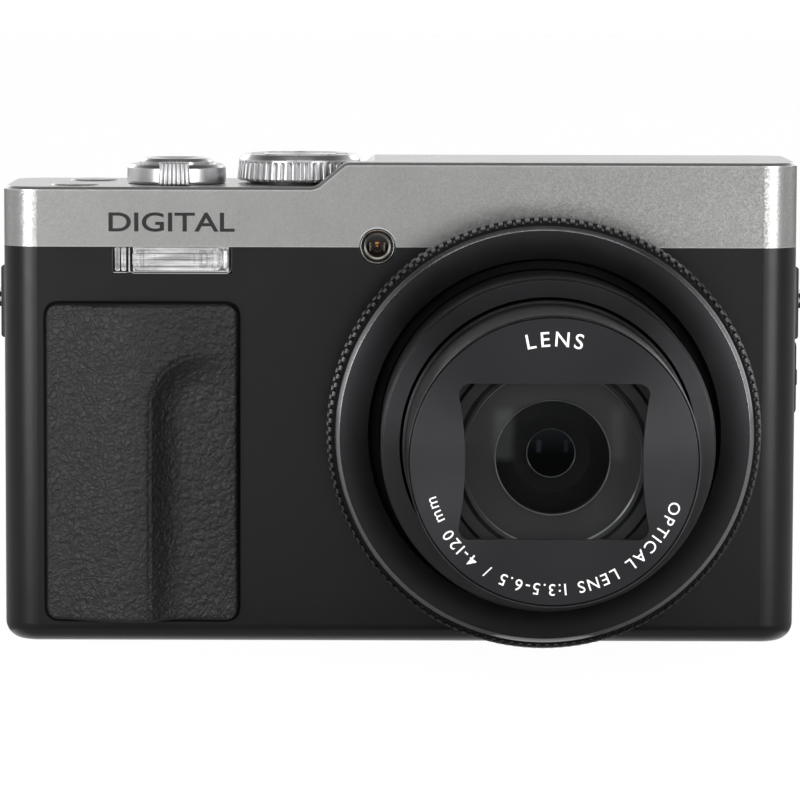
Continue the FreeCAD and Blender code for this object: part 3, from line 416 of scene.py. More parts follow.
# ---- mesh helpers ----
def new_object(name, data):
    made = bpy.data.objects.new(name, data)
    bpy.context.scene.collection.objects.link(made)
    return made


def show(name, shape, body, finish, replaces=None, sharp=32):
    """Makes a bmesh into a piece that rides on a body and may stand for a CAD node.

    Edges steeper than sharp degrees stay crisp.
    """
    made = bpy.data.meshes.new(name)
    bmesh.ops.recalc_face_normals(shape, faces=shape.faces)
    shape.to_mesh(made)
    shape.free()
    made.transform(Matrix.Scale(MM, 4))
    made.materials.append(FINISH[finish])
    made.shade_smooth()
    made.set_sharp_from_angle(angle=radians(sharp))
    piece = new_object(name, made)
    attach(piece, body)
    if replaces:
        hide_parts(replaces)


def rounded(points, radius, steps=4):
    """Rounds the corners of a closed outline of 2-D points; radius is one value or one per corner."""
    count = len(points)
    radii = radius if isinstance(radius, list) else [radius] * count
    outline = []
    for i, here in enumerate(points):
        here = Vector(here)
        before = Vector(points[i - 1]) - here
        after = Vector(points[(i + 1) % count]) - here
        corner = before.angle(after, pi)
        if radii[i] == 0 or abs(corner - pi) < 1e-3:
            outline.append(here)
            continue
        reach = min(radii[i] / tan(corner / 2), before.length * 0.48, after.length * 0.48)
        start = here + before.normalized() * reach
        end = here + after.normalized() * reach
        for k in range(steps + 1):
            t = k / steps
            outline.append(start * (1 - t) ** 2 + here * 2 * t * (1 - t) + end * t ** 2)
    return outline


def turned_point(angle, r, along, centre, axis):
    if axis == "Y":
        return (centre.x + r * cos(angle), along, centre.z + r * sin(angle))
    return (centre.x + r * cos(angle), centre.y + r * sin(angle), along)


def lathe(profile, centre, axis, steps=192, shape=None):
    """Turns a closed outline of (radius, along) points; shape(angle, r, along) may change a radius."""
    made = bmesh.new()
    rings = []
    for r, along in profile:
        ring = []
        if r < 1e-6:
            ring = [made.verts.new(turned_point(0, 0, along, centre, axis))]
        else:
            for i in range(steps):
                angle = 2 * pi * i / steps
                here = shape(angle, r, along) if shape else r
                ring.append(made.verts.new(turned_point(angle, here, along, centre, axis)))
        rings.append(ring)
    join_loops(made, rings)
    return made


def neighbours(count):
    """Index pairs round a closed loop."""
    return [(i, (i + 1) % count) for i in range(count)]


def join_loops(made, loops):
    """Faces from each loop of points to the next, all the way round. A loop may be one point."""
    for a, b in zip(loops, loops[1:] + loops[:1]):
        if len(a) == len(b) == 1:
            continue
        for i, j in neighbours(max(len(a), len(b))):
            if len(a) == 1:
                made.faces.new((a[0], b[i], b[j]))
            elif len(b) == 1:
                made.faces.new((a[i], a[j], b[0]))
            else:
                made.faces.new((a[i], a[j], b[j], b[i]))


def join_grid(made, rows):
    """Faces between neighbouring rows of points."""
    for a, b in zip(rows, rows[1:]):
        for i in range(len(a) - 1):
            made.faces.new((a[i], a[i + 1], b[i + 1], b[i]))


def ring_wall(outer, inner, y0, y1):
    """The wall between two outlines that have the same number of points."""
    made = bmesh.new()
    sides = ((outer, y0), (inner, y0), (inner, y1), (outer, y1))
    join_loops(made, [[made.verts.new((a, y, b)) for a, b in outline] for outline, y in sides])
    return made


def facing_front(a, b, t):
    return (a, t, b)


def facing_up(a, b, t):
    return (a, b, t)


def facing_right(a, b, t):
    return (t, a, b)


def extrude(outline, low, high, bevel=0.0, bevel_steps=3, both_ends=True, place=facing_front):
    """Extrudes a closed 2-D outline. place(a, b, t) puts a point of the outline at height t."""
    made = bmesh.new()
    bottom = [made.verts.new(place(a, b, low)) for a, b in outline]
    top = [made.verts.new(place(a, b, high)) for a, b in outline]
    made.faces.new(bottom)
    made.faces.new(top)
    for i, j in neighbours(len(outline)):
        made.faces.new((bottom[i], bottom[j], top[j], top[i]))
    bmesh.ops.recalc_face_normals(made, faces=made.faces)
    if bevel:
        rims = [set(top)] + ([set(bottom)] if both_ends else [])
        edges = [e for e in made.edges for rim in rims if set(e.verts) <= rim]
        bmesh.ops.bevel(made, geom=edges, offset=bevel, segments=bevel_steps, affect="EDGES", profile=0.5)
    return made


def box_outline(x0, x1, z0, z1, radius, steps=6):
    return rounded([(x0, z0), (x1, z0), (x1, z1), (x0, z1)], radius, steps)


def scallops(x0, x1, y, depth, power, ribs, steps):
    """Points along a row of rounded ribs from x0 to x1, whose tops stand depth in front of y."""
    points = []
    for i in range(ribs * steps + 1):
        share = i / (ribs * steps)
        wave = abs(sin(pi * share * ribs))
        points.append((x0 + (x1 - x0) * share, y - depth * wave ** power))
    return points


def rounding(inward, radius):
    """How far a rounded rim has dropped at a distance inward from the edge."""
    return radius * (1 - sqrt(max(0.0, 1 - max(0.0, 1 - inward / radius) ** 2)))


def inset(x, z, low, high):
    """Distance from the nearest side of a rectangle."""
    return min(x - low.x, high.x - x, z - low.z, high.z - z)


def smooth(t):
    """A soft step from 0 to 1 as t goes from 0 to 1."""
    t = min(max(t, 0), 1)
    return t * t * (3 - 2 * t)


def merge(parts):
    """Joins several bmeshes into one."""
    whole = bmesh.new()
    for part in parts:
        scratch = bpy.data.meshes.new("scratch")
        part.to_mesh(scratch)
        part.free()
        whole.from_mesh(scratch)
        bpy.data.meshes.remove(scratch)
    return whole


def letters(text, size, depth=INK, bold=0.0):
    """A bmesh of the text in its own plane; size is roughly 1.4 times the capitals' height."""
    curve = bpy.data.curves.new("letters", "FONT")
    curve.body = text
    curve.size = size
    curve.extrude = depth / 2
    curve.offset = bold
    curve.align_x = "CENTER"
    curve.resolution_u = 6
    holder = new_object("letters", curve)
    mesh = bpy.data.meshes.new_from_object(holder.evaluated_get(bpy.context.evaluated_depsgraph_get()))
    made = bmesh.new()
    made.from_mesh(mesh)
    bmesh.ops.remove_doubles(made, verts=made.verts, dist=1e-5)
    bpy.data.objects.remove(holder)
    bpy.data.meshes.remove(mesh)
    bpy.data.curves.remove(curve)
    return made


def ends_of(made):
    xs = [v.co.x for v in made.verts]
    return min(xs), max(xs)


def moved(made, matrix):
    bmesh.ops.transform(made, matrix=matrix, verts=made.verts)
    return made


def turn(degrees, axis):
    return Matrix.Rotation(radians(degrees), 4, axis)


shift = Matrix.Translation
TO_FRONT = turn(90, "X")  # from the letters' own plane to the camera's front
TO_BACK = turn(180, "Z") @ TO_FRONT


# ---- covers ----
def keep_cad(nodes_by_finish):
    """CAD nodes whose shape is right keep it and take a finish."""
    for finish, nodes in nodes_by_finish.items():
        for node in nodes.split():
            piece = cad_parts[node]
            piece.data.materials.clear()
            piece.data.materials.append(FINISH[finish])


def wordmark():
    """A plain generic word on the top cover, a little wider than the flash."""
    low, high, centre, _ = measures("flash_window")
    made = letters("DIGITAL", 3.75, 0.08, 0.05)
    left, right = ends_of(made)
    scale = Matrix.Diagonal(((high.x - low.x + 1.0) / (right - left), 1.0, 1.0, 1.0))
    at = shift((centre.x - 0.2, FRONT - 0.02, high.z + 2.3))
    show("wordmark", moved(made, at @ TO_FRONT @ scale), BODY, "print_dark")


# ---- lens ----
def control_ring():
    """Knurled ring: two staggered rows of blocks, the front row on a cone."""
    low, high, _, outer = measures("control_ring")
    bore = 27.5
    teeth = 150
    per_tooth = 8  # points round one tooth
    steps = teeth * per_tooth
    lip = 0.08  # plain share of the length at each end
    cone = 0.45  # how much smaller the front edge's radius is
    depth = 0.42  # of the grooves
    groove, flank, end_flank = 0.28, 0.2, 0.22  # shares of half a block
    made = bmesh.new()
    tip = made.verts.layers.float.new("tip")

    def block_height(i, share):
        """0 in a groove and 1 on top of a block."""
        if share <= lip or share >= 1 - lip:
            return 0.0
        row_share = (share - lip) / (1 - 2 * lip) * 2
        row = min(int(row_share), 1)
        inside = row_share - row
        phase = (i / per_tooth + 0.5 * row) % 1.0
        across = min(phase, 1 - phase) * 2
        along = min(inside, 1 - inside) * 2
        return min(max((across - groove) / flank, 0), 1) * min(along / end_flank, 1)

    def ring(radii, along):
        places = (turned_point(2 * pi * i / steps, r, along, LENS, "Y") for i, r in enumerate(radii))
        return [made.verts.new(place) for place in places]

    rings = []
    for share in (0.0, lip, 0.13, 0.18, 0.26, 0.34, 0.41, 0.46, 0.50, 0.54, 0.59, 0.66, 0.74, 0.82, 0.87,
                  1 - lip, 1.0):
        heights = [block_height(i, share) for i in range(steps)]
        plain = outer - cone * max(0.0, 1 - share / 0.5)
        rings.append(ring([plain - depth * (1 - height) for height in heights],
                          low.y + share * (high.y - low.y)))
        for point, height in zip(rings[-1], heights):
            point[tip] = height
    rings += [ring([bore] * steps, along) for along in (high.y, low.y)]
    join_loops(made, rings)
    show("control_ring_knurled", made, "control_ring", "lens_knurl", "control_ring", sharp=28)


def lens_bezel():
    """Front flange of the control ring: a bright rim, then a face that dishes inward."""
    low, high, _, outer = measures("lens_front_bezel")
    face = low.y
    flat = outer - 0.62  # radius of the rim's inner edge
    throat, seat = 24.45, 25.5
    hollow = 0.065  # how fast the face falls away inward
    back = span("control_ring")[0].y - 0.1
    rim = [(outer, back), (outer, face + 0.62), (outer - 0.05, face + 0.5), (flat + 0.08, face + 0.03),
           (flat, face), (flat, back)]
    show("lens_bezel_rim", lathe(rim, LENS, "Y", 256), BODY, "lens_rim", "lens_front_bezel", sharp=24)
    dish = [(flat, back), (flat, face + 0.03)]
    steps = 10
    for inward in ((flat - throat) * k / steps for k in range(1, steps + 1)):
        dish.append((flat - inward, face + 0.03 + hollow * inward ** 2))
    dish += [(throat, high.y), (seat, high.y), (seat, back)]
    show("lens_bezel_dished", lathe(dish, LENS, "Y", 256), BODY, "lens_black", sharp=24)


def front_glass():
    """Front element: a shallow dome with a ground edge."""
    low, high, _, outer = measures("front_lens")
    bulge = 60.0  # radius of the dome's curve
    steps = 16
    radii = [outer * k / steps for k in range(steps + 1)]
    profile = [(r, low.y + bulge - sqrt(bulge * bulge - r * r)) for r in radii]
    profile += [(outer, high.y), (0, high.y)]
    show("front_lens_glass", lathe(profile, LENS, "Y"), "inner_barrel", "optical_glass", "front_lens",
         sharp=40)


def arc_text(text, baseline, size, middle_angle, gap, bold):
    """Letters round the lens on a circle of the given radius, tops outward, reading clockwise."""
    made = [letters(c, size, bold=bold) if c != " " else None for c in text]
    ends = [ends_of(letter) if letter else (0, size * 0.3) for letter in made]
    passed = -sum(right - left + gap for left, right in ends) / 2
    parts = []
    for letter, (left, right) in zip(made, ends):
        width = right - left + gap
        if letter:
            angle = radians(middle_angle) - (passed + width / 2) / (baseline + size * 0.35)
            at = shift(turned_point(angle, baseline, LENS_TIP - 0.015, LENS, "Y"))
            lean = turn(90 - degrees(angle), "Y")
            centred = shift((-(left + right) / 2, 0, 0))
            parts.append(moved(letter, at @ lean @ TO_FRONT @ centred))
        passed += width
    return parts


def ring_lettering():
    """Generic words on the lens's front ring, above and below the window."""
    parts = arc_text("LENS", 15.2, 2.8, 90, 0.75, 0.02)
    parts += arc_text("OPTICAL LENS 1:3.5-6.5 / 4-120 mm", 16.1, 2.2, 269, 0.47, 0.01)
    show("ring_lettering", merge(parts), "inner_barrel", "print_white")


# ---- top controls ----
def mode_dial():
    """Dial with finger ribs that stop in rounded tops below a smooth rim."""
    low, high, centre, outer = measures("mode_dial")
    ribs = 48
    taper = 0.3
    rib_top = high.z - 1.05
    rib_half = 0.74  # share of the pitch that a rib takes up
    arch_height = 0.45  # of the ribs' rounded tops
    groove = 0.30
    crown = 0.06  # how far a rib's face rounds off towards its sides
    profile = rounded([(0, low.z), (outer - 0.3, low.z), (outer, low.z + 0.3), (outer - taper, high.z - 0.7),
                       (outer - 0.85, high.z), (0, high.z)], [0, 0.1, 0.2, 0.35, 0.3, 0], 5)

    def shape(angle, r, along):
        if r < outer - 1.2 or along > rib_top or along < low.z + 0.1:
            return r
        across = abs((angle * ribs / (2 * pi)) % 1.0 - 0.5) * 2
        rise = max(0.0, along - rib_top + arch_height) / arch_height
        edge = rib_half * sqrt(max(0.0, 1 - rise ** 2))
        depth = min(max((across - edge) / 0.2, 0), 1)
        fall = crown * min(1.0, across / rib_half) ** 2
        return r - groove * depth - fall * (1 - depth)

    show("mode_dial_ribbed", lathe(spread(profile, 0.2), centre, "Z", ribs * 14, shape), "mode_dial",
         "silver_spun", "mode_dial", sharp=50)
    mark_radius = 5.1
    marks = "APSM1234"
    parts = []
    for i, mark in enumerate(marks):
        at = shift((centre.x, centre.y, high.z + 0.015)) @ turn(-360 * i / len(marks), "Z")
        parts.append(moved(letters(mark, 2.6), at @ shift((0, mark_radius, 0))))
    show("mode_dial_marks", merge(parts), "mode_dial", "print_dark")


def spread(profile, step):
    """Adds points along the upright edges of an outline."""
    points = []
    for here, there in zip(profile, profile[1:] + profile[:1]):
        points.append(here)
        upright = abs(there.y - here.y) > abs(there.x - here.x)
        pieces = int((there - here).length / step) if upright else 0
        points += [here.lerp(there, k / pieces) for k in range(1, pieces)]
    return points


def zoom_lever():
    """Ring round the shutter button with a ribbed thumb tab."""
    low, high, _, outer = measures("zoom_lever")
    button = middle("shutter_button")
    inner = 5.45
    top = high.z - 0.45
    section = [(inner, low.z), (outer - 0.1, low.z), (outer, low.z + 0.3), (outer - 0.05, top - 0.45),
               (outer - 0.55, top), (inner + 0.2, top), (inner, top - 0.2)]
    ring = lathe(rounded(section, [0.05, 0.1, 0.1, 0.2, 0.2, 0.1, 0.1], 5), button, "Z")
    half = 2.1  # half the tab's width
    root = button.y - 5.7
    foot = low.y + 0.4  # where the ribs grow out of the tab
    outline = [(half, root), (-half, root), (-half, foot)]
    outline += scallops(-half, half, low.y + 0.30, 0.28, 0.5, ribs=7, steps=10)
    outline.append((half, foot))

    def lean(a, b, t):
        """The tab is a little wider at its foot than at its top."""
        rise = (t - low.z) / (high.z - low.z)
        return (button.x + a * (1.04 - 0.08 * rise), b + 0.25 * rise, t)

    tab = extrude(outline, low.z, high.z, 0.16, place=lean)
    show("zoom_lever_ribbed", merge([ring, tab]), "zoom_lever", "silver_control", "zoom_lever", sharp=40)


def shutter_button():
    """A cap with a dished top on a thin stem."""
    low, high, centre, outer = measures("shutter_button")
    stem = 2.0
    z = high.z
    profile = rounded([(0, low.z), (stem, low.z), (stem, z - 2.1), (outer, z - 2.1), (outer, z - 0.4),
                       (outer - 0.6, z), (outer - 1.6, z - 0.05), (0, z - 0.4)],
                      [0, 0.1, 0.1, 0.15, 0.25, 0.3, 1.5, 0], 5)
    show("shutter_button_dished", lathe(profile, centre, "Z", 160), "shutter_button", "silver_spun",
         "shutter_button")


# ---- grip ----
def front_grip():
    """Rubber pad with a finger ridge, a scooped valley beside it and a leather grain."""
    low, high = span("front_grip")
    ridge_x = -35.3
    scoop_top = 41.2
    corner = 7.5  # radius of the scoop's upper left corner
    valley = 5.0  # width of the slope down from the ridge
    left_height, right_height = 0.8, 1.9
    tallest = high.y - low.y

    def full_height(x):
        """Height of the pad before the scoop is taken out of it."""
        if x < ridge_x - 1:
            return left_height + (tallest - left_height) * smooth((x - low.x) / (ridge_x - 1 - low.x)) ** 0.85
        beyond = smooth((x - ridge_x + 1) / (high.x - ridge_x + 1))
        return right_height + (tallest - right_height) * (1 - beyond)

    def into_scoop(x, z):
        """Distance inside the scoop; negative outside."""
        dx = ridge_x - x
        dz = z - scoop_top
        if dx > -corner and dz > -corner:
            return corner - hypot(dx + corner, dz + corner)
        return -max(dx, dz)

    def height(x, z):
        inward = into_scoop(x, z)
        wall = 1 - smooth(inward / valley) ** 0.62
        wall = min(wall, 1 - smooth((inward + 0.35) / 0.7) * 0.1)  # a crisp lip at the scoop's edge
        floor = 1.0 + 0.6 * smooth((x - ridge_x - 4) / (high.x - ridge_x - 5))
        level = floor + (full_height(x) - floor) * wall - rounding(inset(x, z, low, high), 0.55)
        return min(max(level, 0.2), tallest) - grain(x, z)

    def grain(x, z):
        """Depth of the leather grain: crumpled lumps, turning to flat pebbles to the right."""
        share = smooth((x - low.x - 10) / (high.x - low.x - 14))
        warp = noise.noise_vector(Vector((x, 0, z)) * 0.9) * 0.55
        point = Vector((x, 3.7, z)) + warp
        near = noise.voronoi(point / 1.35)[0]
        pebble = 1 - smooth((near[1] - near[0]) / 0.30)
        lump = noise.turbulence(point / 1.05, 3, True)
        return 0.15 * (1 - share) * lump + (0.04 + 0.08 * share) * pebble

    made = moulded_pad(low, high, 180, 290, 2.0, lambda x, z: high.y - height(x, z), high.y)
    show("front_grip_rubber", made, BODY, "grip_rubber", "front_grip", sharp=60)
    # painted shade: a flat near-black strip round the pad stands in for the shade of a groove round it
    gap = 0.38
    outer = box_outline(low.x - gap, high.x + gap, low.z - gap, high.z + gap, 2.3)
    inner = box_outline(low.x + gap, high.x - gap, low.z + gap, high.z - gap, 1.8)
    seam = ring_wall(outer, inner, FRONT - 0.015, FRONT + 0.1)
    show("front_grip_groove_shade", seam, BODY, "seam")


def moulded_pad(low, high, columns, rows, corner, surface, base):
    """A pad with rounded corners, a face at y = surface(x, z) and a flat foot at y = base."""
    made = bmesh.new()
    grid = []
    for r in range(rows + 1):
        line = []
        for c in range(columns + 1):
            x = low.x + (high.x - low.x) * c / columns
            z = low.z + (high.z - low.z) * r / rows
            x, z = into_round_rect(x, z, low, high, corner)
            line.append(made.verts.new((x, surface(x, z), z)))
        grid.append(line)
    join_grid(made, grid)
    edge = grid[0] + [line[-1] for line in grid[1:]] + grid[-1][-2::-1] + [line[0] for line in grid[-2:0:-1]]
    foot = [made.verts.new((v.co.x, base, v.co.z)) for v in edge]
    for i, j in neighbours(len(edge)):
        made.faces.new((edge[i], foot[i], foot[j], edge[j]))
    made.faces.new(foot)
    bmesh.ops.remove_doubles(made, verts=made.verts, dist=1e-5)
    return made


def into_round_rect(x, z, low, high, radius):
    """Pulls a point near a corner of the rectangle onto the rounded corner."""
    cx = min(max(x, low.x + radius), high.x - radius)
    cz = min(max(z, low.z + radius), high.z - radius)
    dx, dz = x - cx, z - cz
    if dx == 0 or dz == 0:
        return x, z
    reach = max(abs(dx), abs(dz))
    length = hypot(dx, dz)
    return cx + dx * reach / length, cz + dz * reach / length


def thumb_rest():
    """Crowned rubber pad with staggered rows of small studs."""
    low, high, centre, _ = measures("thumb_rest")
    pitch = 1.25  # between studs
    stud = 0.36  # radius of a stud
    stud_height = 0.15
    plain_rim = 1.3  # no studs this near the edge

    def surface(x, z):
        rim = inset(x, z, low, high)
        crown = 0.12 * ((x - centre.x) ** 2 + (z - centre.z) ** 2) / (high.z - centre.z) ** 2
        level = high.y - 0.16 - crown - rounding(rim, 0.7)
        row = round((z - centre.z) / pitch)
        offset = pitch / 2 * (row % 2)
        column = round((x - centre.x - offset) / pitch)
        away = hypot(x - centre.x - offset - column * pitch, z - centre.z - row * pitch)
        if rim > plain_rim:
            level += stud_height * max(0.0, 1 - (away / stud) ** 2)
        return max(level, low.y + 0.1)

    made = moulded_pad(low, high, 100, 110, 2.5, surface, low.y)
    show("thumb_rest_rubber", made, BODY, "soft_rubber", "thumb_rest", sharp=50)


# ---- flash and lamp ----
def reflector_panel(x0, x1, z0, z1, y, ripples, depth, corner):
    """A bowl-shaped mirror with ripples that run along it and rounded ends."""
    made = bmesh.new()
    across, up = 48, 96
    bowl_depth, end_round, thickness = 0.9, 1.2, 0.15
    rows = []
    for k in range(up + 1):
        share = k / up
        bowl = 4 * share * (1 - share)
        ripple = depth * cos(2 * pi * share * ripples)
        row = []
        for i in range(across + 1):
            along = i / across
            end = min(along, 1 - along) * (x1 - x0)
            round_off = max(0, 1 - end / end_round) ** 2
            pull = rounding(end, corner)
            x = x0 + (x1 - x0) * along
            z = z0 + pull + (z1 - z0 - 2 * pull) * share
            row.append(made.verts.new((x, y + bowl_depth * bowl * (1 - round_off) + ripple, z)))
        rows.append(row)
    join_grid(made, rows)
    extruded = bmesh.ops.extrude_face_region(made, geom=list(made.faces))["geom"]
    rear = [v for v in extruded if isinstance(v, bmesh.types.BMVert)]
    bmesh.ops.translate(made, verts=rear, vec=(0, thickness, 0))
    return made


def flash():
    """Clear window over a rippled mirror, with a narrow ribbed strip beside it."""
    low, high = span("flash_window")
    split = low.x + 2.15  # right-hand edge of the ribbed strip
    rim = 0.30  # thickness of the window's side walls
    left = split + 0.12  # the clear window's left side; its lower corners are rounder than its upper ones
    main = box_outline(left, high.x, low.z, high.z, [0.9, 0.9, 0.3, 0.3], 8)
    hollow = box_outline(left + rim, high.x - rim, low.z + rim, high.z - 0.12, [0.7, 0.7, 0.3, 0.3], 8)
    face = extrude(main, low.y, low.y + 0.35, 0.12, both_ends=False)
    walls = ring_wall(main, hollow, low.y + 0.36, high.y)
    outline = scallops(low.x, split, low.y + 0.45, 0.42, 0.6, ribs=4, steps=12)
    outline += [(split, low.y + 0.9), (low.x, low.y + 0.9)]
    strip = extrude(outline, low.z + 0.05, high.z - 0.05, 0.2, place=facing_up)
    show("flash_window_clear", merge([face, walls, strip]), BODY, "flash_lens", "flash_window", sharp=40)
    mirror_y = low.y + 0.75
    parts = [reflector_panel(left + 0.5, high.x - 1.30, low.z + 0.38, high.z - 0.06, mirror_y, 6, 0.10, 0.9)]
    cap = [(0, low.z + 0.40), (0.42, low.z + 0.75), (0.42, high.z - 0.5), (0, high.z - 0.15)]
    parts.append(lathe(rounded(cap, 0.3), Vector((high.x - 0.84, mirror_y + 0.3, 0)), "Z", 32))
    for x in (low.x + 0.30, low.x + 1.18):
        parts.append(reflector_panel(x, x + 0.68, low.z + 0.28, high.z - 0.05, low.y + 0.95, 1, 0.02, 0.25))
    divider = box_outline(split + 0.10, split + 0.26, low.z + 0.10, high.z - 0.04, 0.06, 3)
    parts.append(extrude(divider, low.y + 0.4, low.y + 1.2))
    show("flash_mirror", merge(parts), BODY, "flash_mirror", sharp=60)


def focus_lamp():
    """Amber focus lamp: thin ring, dark cup, a small lamp with two posts, domed window."""
    low, high, centre, outer = measures("af_lamp_bezel")
    face, deep = low.y, high.y - low.y

    def turned(profile, radius, steps, around):
        profile = [(r, face + behind) for r, behind in profile]
        return lathe(rounded(profile, radius, steps), centre, "Y", around)

    def block(x0, x1, z0, z1, corner, front, rear, bevel):
        """A block whose sides are measured from the lamp's centre and whose ends from its face."""
        outline = box_outline(centre.x + x0, centre.x + x1, centre.z + z0, centre.z + z1, corner)
        return extrude(outline, face + front, face + rear, bevel, 2)

    ring = turned([(1.95, deep), (outer, deep), (outer, 0.16), (outer - 0.14, 0), (outer - 0.22, 0),
                   (1.98, 0.5)], 0.05, 3, 128)
    show("af_lamp_bezel_ring", ring, BODY, "lamp_rim", "af_lamp_bezel")
    cup = turned([(0, 1.7), (0.9, 1.6), (1.9, 0.55), (1.9, 1.9), (0, 1.9)], [0, 0.5, 0.1, 0, 0], 5, 96)
    show("af_lamp_cup", cup, BODY, "lamp_cup")
    lamp = [block(-0.30, 0.25, 0.30, 0.62, 0.1, 0.75, 1.3, 0.08),
            block(-0.12, 0.10, -0.10, 0.20, 0.08, 0.8, 1.4, 0.05)]
    show("af_lamp_led", merge(lamp), BODY, "lamp_amber")
    posts = [block(side - 0.13, side + 0.13, -0.7, 0.55, 0.1, 0.7, 1.5, 0.06) for side in (-1, 1)]
    posts.append(turned([(1.52, 0.66), (1.90, 0.50), (1.90, 0.80), (1.52, 0.80)], 0.03, 2, 96))
    show("af_lamp_posts", merge(posts), BODY, "lens_line")


def lens_details():
    """Thin bright rims: the rear edge of the mask round the glass, and the edge of the inner lens."""
    mask_rear = span("lens_cell")[0].y + 1.5
    inner_edge = span("iris_unit")[0].y + 0.6
    rims = []
    for radius, y, width in ((7.62, mask_rear, 0.11), (3.25, inner_edge, 0.10)):
        rim = [(radius - width, y), (radius, y - 0.12), (radius + 0.04, y + 0.1), (radius - width, y + 0.12)]
        rims.append(lathe(rounded(rim, 0.02, 2), LENS, "Y", 160))
    show("lens_rims", merge(rims), "inner_barrel", "lens_line")


# ---- back ----
def eyepiece_cup():
    """Soft rubber surround: a raised, rounded lip that falls away into the eyepiece."""
    low, high, centre, _ = measures("eyepiece_cup")
    wide, tall = 5.4, 3.0  # half the hole's size
    outer = box_outline(low.x, high.x, low.z, high.z, 2.2, 10)
    inner = box_outline(centre.x - wide, centre.x + wide, centre.z - tall, centre.z + tall, 1.2, 10)
    deep = low.y + 0.3
    # the section's points: share of the way from the outer outline to the inner one, and y
    section = [(0.0, BACK), (0.0, high.y), (0.42, high.y + 0.03), (0.80, BACK - 0.1), (1.0, BACK - 0.5),
               (1.0, deep), (0.90, deep), (0.90, BACK - 0.02)]
    made = bmesh.new()
    loops = []
    for share, y in rounded(section, [0, 0.30, 0.35, 0.3, 0.1, 0, 0, 0], 5):
        places = (a.lerp(b, share) for a, b in zip(outer, inner))
        loops.append([made.verts.new((here.x, min(y, high.y), here.y)) for here in places])
    join_loops(made, loops)
    show("eyepiece_cup_rubber", made, BODY, "soft_rubber", "eyepiece_cup", sharp=45)


def port_door():
    """Rubber door of the side sockets: rounded plate, hinge barrel and a nail rib at its free edge."""
    low, high = span("port_door")
    pin = 0.45  # radius of the hinge barrel
    skin = high.x - 0.18  # outer face of the plate; the rib stands on it
    outline = box_outline(low.y, high.y - 0.75, low.z, high.z, 1.1)
    plate = extrude(outline, low.x, skin, 0.4, 4, False, facing_right)
    nail = box_outline(low.y + 0.9, low.y + 1.6, low.z + 4.0, high.z - 4.0, 0.3)
    rib = extrude(nail, skin - 0.2, high.x, 0.15, 3, False, facing_right)
    hinge = Vector((high.x - 0.5, high.y - pin, 0))
    barrel = lathe([(0, low.z), (pin, low.z), (pin, high.z), (0, high.z)], hinge, "Z", 32)
    show("port_door_rubber", merge([plate, rib, barrel]), "port_door", "soft_rubber", "port_door", sharp=45)


def back_marks():
    """Small generic symbols on the back buttons and the rear dial."""
    def mark(name, shape, body):
        show(name, shape, body, "print_grey")

    _, high, centre, _ = measures("fn_button")
    at = shift((centre.x, high.y + 0.015, centre.z - 0.55))
    mark("fn_mark", moved(letters("Fn", 1.9), at @ TO_BACK), "fn_button")
    _, high, centre, _ = measures("play_button")
    arrow = [(centre.x + a, centre.z + b) for a, b in ((0.7, 0.8), (0.7, -0.8), (-0.8, 0))]
    mark("play_mark", extrude(arrow, high.y - 0.02, high.y + 0.02), "play_button")
    _, high, centre, _ = measures("rear_dial")
    tip = 7.4
    arrow = [(-0.55, tip - 0.5), (0.55, tip - 0.5), (0, tip + 0.35)]
    parts = []
    for quarter in range(4):
        along, across = cos(quarter * pi / 2), sin(quarter * pi / 2)
        turned = [(centre.x + a * along - b * across, centre.z + a * across + b * along) for a, b in arrow]
        parts.append(extrude(turned, high.y - 0.25, high.y - 0.13))
    mark("rear_dial_marks", merge(parts), "rear_dial")


# ---- stage ----
def floor():
    """White glass: the camera sees through it from below, and it bounces light like plain white paint."""
    level = CAD_LOW.z - 0.02 * MM
    reach = 6  # metres
    corners = [(x * reach, y * reach, level) for x, y in ((-1, -1), (1, -1), (1, 1), (-1, 1))]
    mesh = bpy.data.meshes.new("floor")
    mesh.from_pydata(corners, [], [(0, 1, 2, 3)])
    new_object("floor", mesh)
    made = new_material("floor_white")
    matt = out("BsdfDiffuse", {"Color": 0.85})
    path = add("LightPath").outputs
    close_by = maths("LESS_THAN", path["Ray Length"], 3 * MM)  # keeps the gap under the base lit
    clear = blend_value(path["Is Camera Ray"], close_by, 0.94)
    close(out("MixShader", {0: clear, 1: matt, 2: out("BsdfTransparent")}))
    mesh.materials.append(made)


def studio():
    """White backdrop behind the camera body and beside it, darker studio above and in front."""
    world = bpy.data.worlds.new("studio")
    bpy.context.scene.world = world
    new_tree(world)
    way = parts_of(add("TexCoord").outputs["Generated"])
    behind = ramp(way[1], -0.1, 0.4, FRONT_GLOW, BACK_GLOW)
    overhead = ramp(way[2], 0.25, 0.75, 1.0, 0.12)
    beside = ramp(maths("ABSOLUTE", way[0]), 0.72, 0.95, 1.0, 1.35)
    glow = times(behind, beside, overhead)
    lit = out("Background", {"Color": 1.0, "Strength": glow})
    white = out("Background", {"Color": 1.0, "Strength": 1.04})
    seen = add("LightPath").outputs["Is Camera Ray"]
    add("OutputWorld", {"Surface": add("MixShader", {0: seen, 1: lit, 2: white}).outputs[0]})


def softbox(name, at, aim, size, radiance):
    """An area light of a given brightness; places and sizes are in millimetres."""
    light = bpy.data.lights.new(name, "AREA")
    light.shape = "RECTANGLE"
    light.size, light.size_y = (side * MM for side in size)
    light.energy = radiance * pi * light.size * light.size_y
    holder = new_object(name, light)
    holder.location = Vector(at) * MM
    holder.rotation_euler = (Vector(aim) - Vector(at)).to_track_quat("-Z", "Y").to_euler()
    holder.visible_camera = False


def on_arc(azimuth, distance, height):
    """A place round the camera body; azimuth 0 is in front, and positive is to the right."""
    angle = radians(azimuth)
    return (distance * sin(angle), -distance * cos(angle), height)


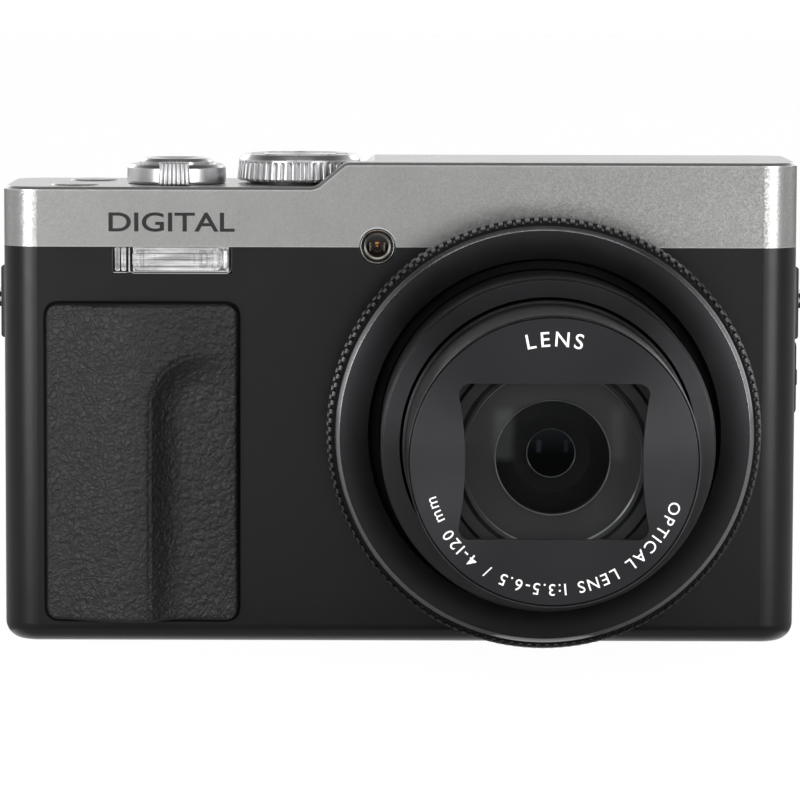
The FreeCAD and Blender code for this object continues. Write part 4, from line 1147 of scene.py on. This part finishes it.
def lights():
    target = (0, 0, 35)
    front, back = (240, 180), (420, 300)
    softbox("left_box", on_arc(-37, 500, 85), target, front, 5.6)
    softbox("right_box", on_arc(38, 500, 85), target, front, 5.4)
    softbox("top_box", on_arc(0, 800, 720), target, (900, 300), 3.6)
    softbox("back_left_box", on_arc(-145, 800, 330), target, back, 2.4)
    softbox("back_right_box", on_arc(145, 800, 330), target, back, 2.4)


def camera():
    """Seen from just above the lens and a little to its left, through a long lens."""
    data = bpy.data.cameras.new("camera")
    data.lens = 192.7  # like the shifts and angles, solved from the photograph
    data.sensor_width = 36
    data.shift_x = 0.0510
    data.shift_y = -0.0427
    holder = new_object("camera", data)
    holder.location = Vector((-3.08, FRONT - 600.0, 94.6)) * MM
    aim = turn(0.252, "Z") @ turn(-5.257, "X") @ turn(-0.128, "Y") @ turn(90, "X")
    holder.rotation_euler = aim.to_euler()
    bpy.context.scene.camera = holder


# ---- everything ----
keep_cad({
    "black_shell": "front_cover rear_cover battery_door",
    "black_control": "mode_dial_base door_lock lug_plates screen_hinge screen_housing diopter_dial rear_dial "
                     "set_button viewfinder_button fn_button play_button delete_button",
    "silver_cover": "top_cover power_button record_button",
    "lens_black": "lens_collar",
    "barrel_black": "outer_barrel middle_barrel inner_barrel",
    "name_ring": "lens_front_ring",
    "blade": "barrier_blade_upper barrier_blade_lower barrier_leaf_upper barrier_leaf_lower",
    "lens_mask": "lens_cell",
    "lens_inner": "lens_housing iris_unit battery_box viewfinder_module",
    "optical_glass": "eyepiece_lens",
    "inner_glass": "second_lens",
    "flash_lens": "flash_tube",
    "reflector": "flash_reflector",
    "lamp_lens": "af_lamp_lens",
    "screen_glass": "screen_glass",
    "silicon": "image_sensor",
    "frame_metal": "chassis",
    "board": "main_board",
    "motor_can": "zoom_motor",
    "battery_wrap": "battery",
    "steel": "tripod_socket usb_hdmi_ports strap_lugs hinge_pins",
    "black_steel": "case_screws",
})
wordmark()
control_ring()
lens_bezel()
front_glass()
ring_lettering()
mode_dial()
zoom_lever()
shutter_button()
front_grip()
thumb_rest()
flash()
focus_lamp()
lens_details()
eyepiece_cup()
port_door()
back_marks()
floor()
studio()
lights()
camera()
bpy.context.scene.view_settings.view_transform = "Standard"
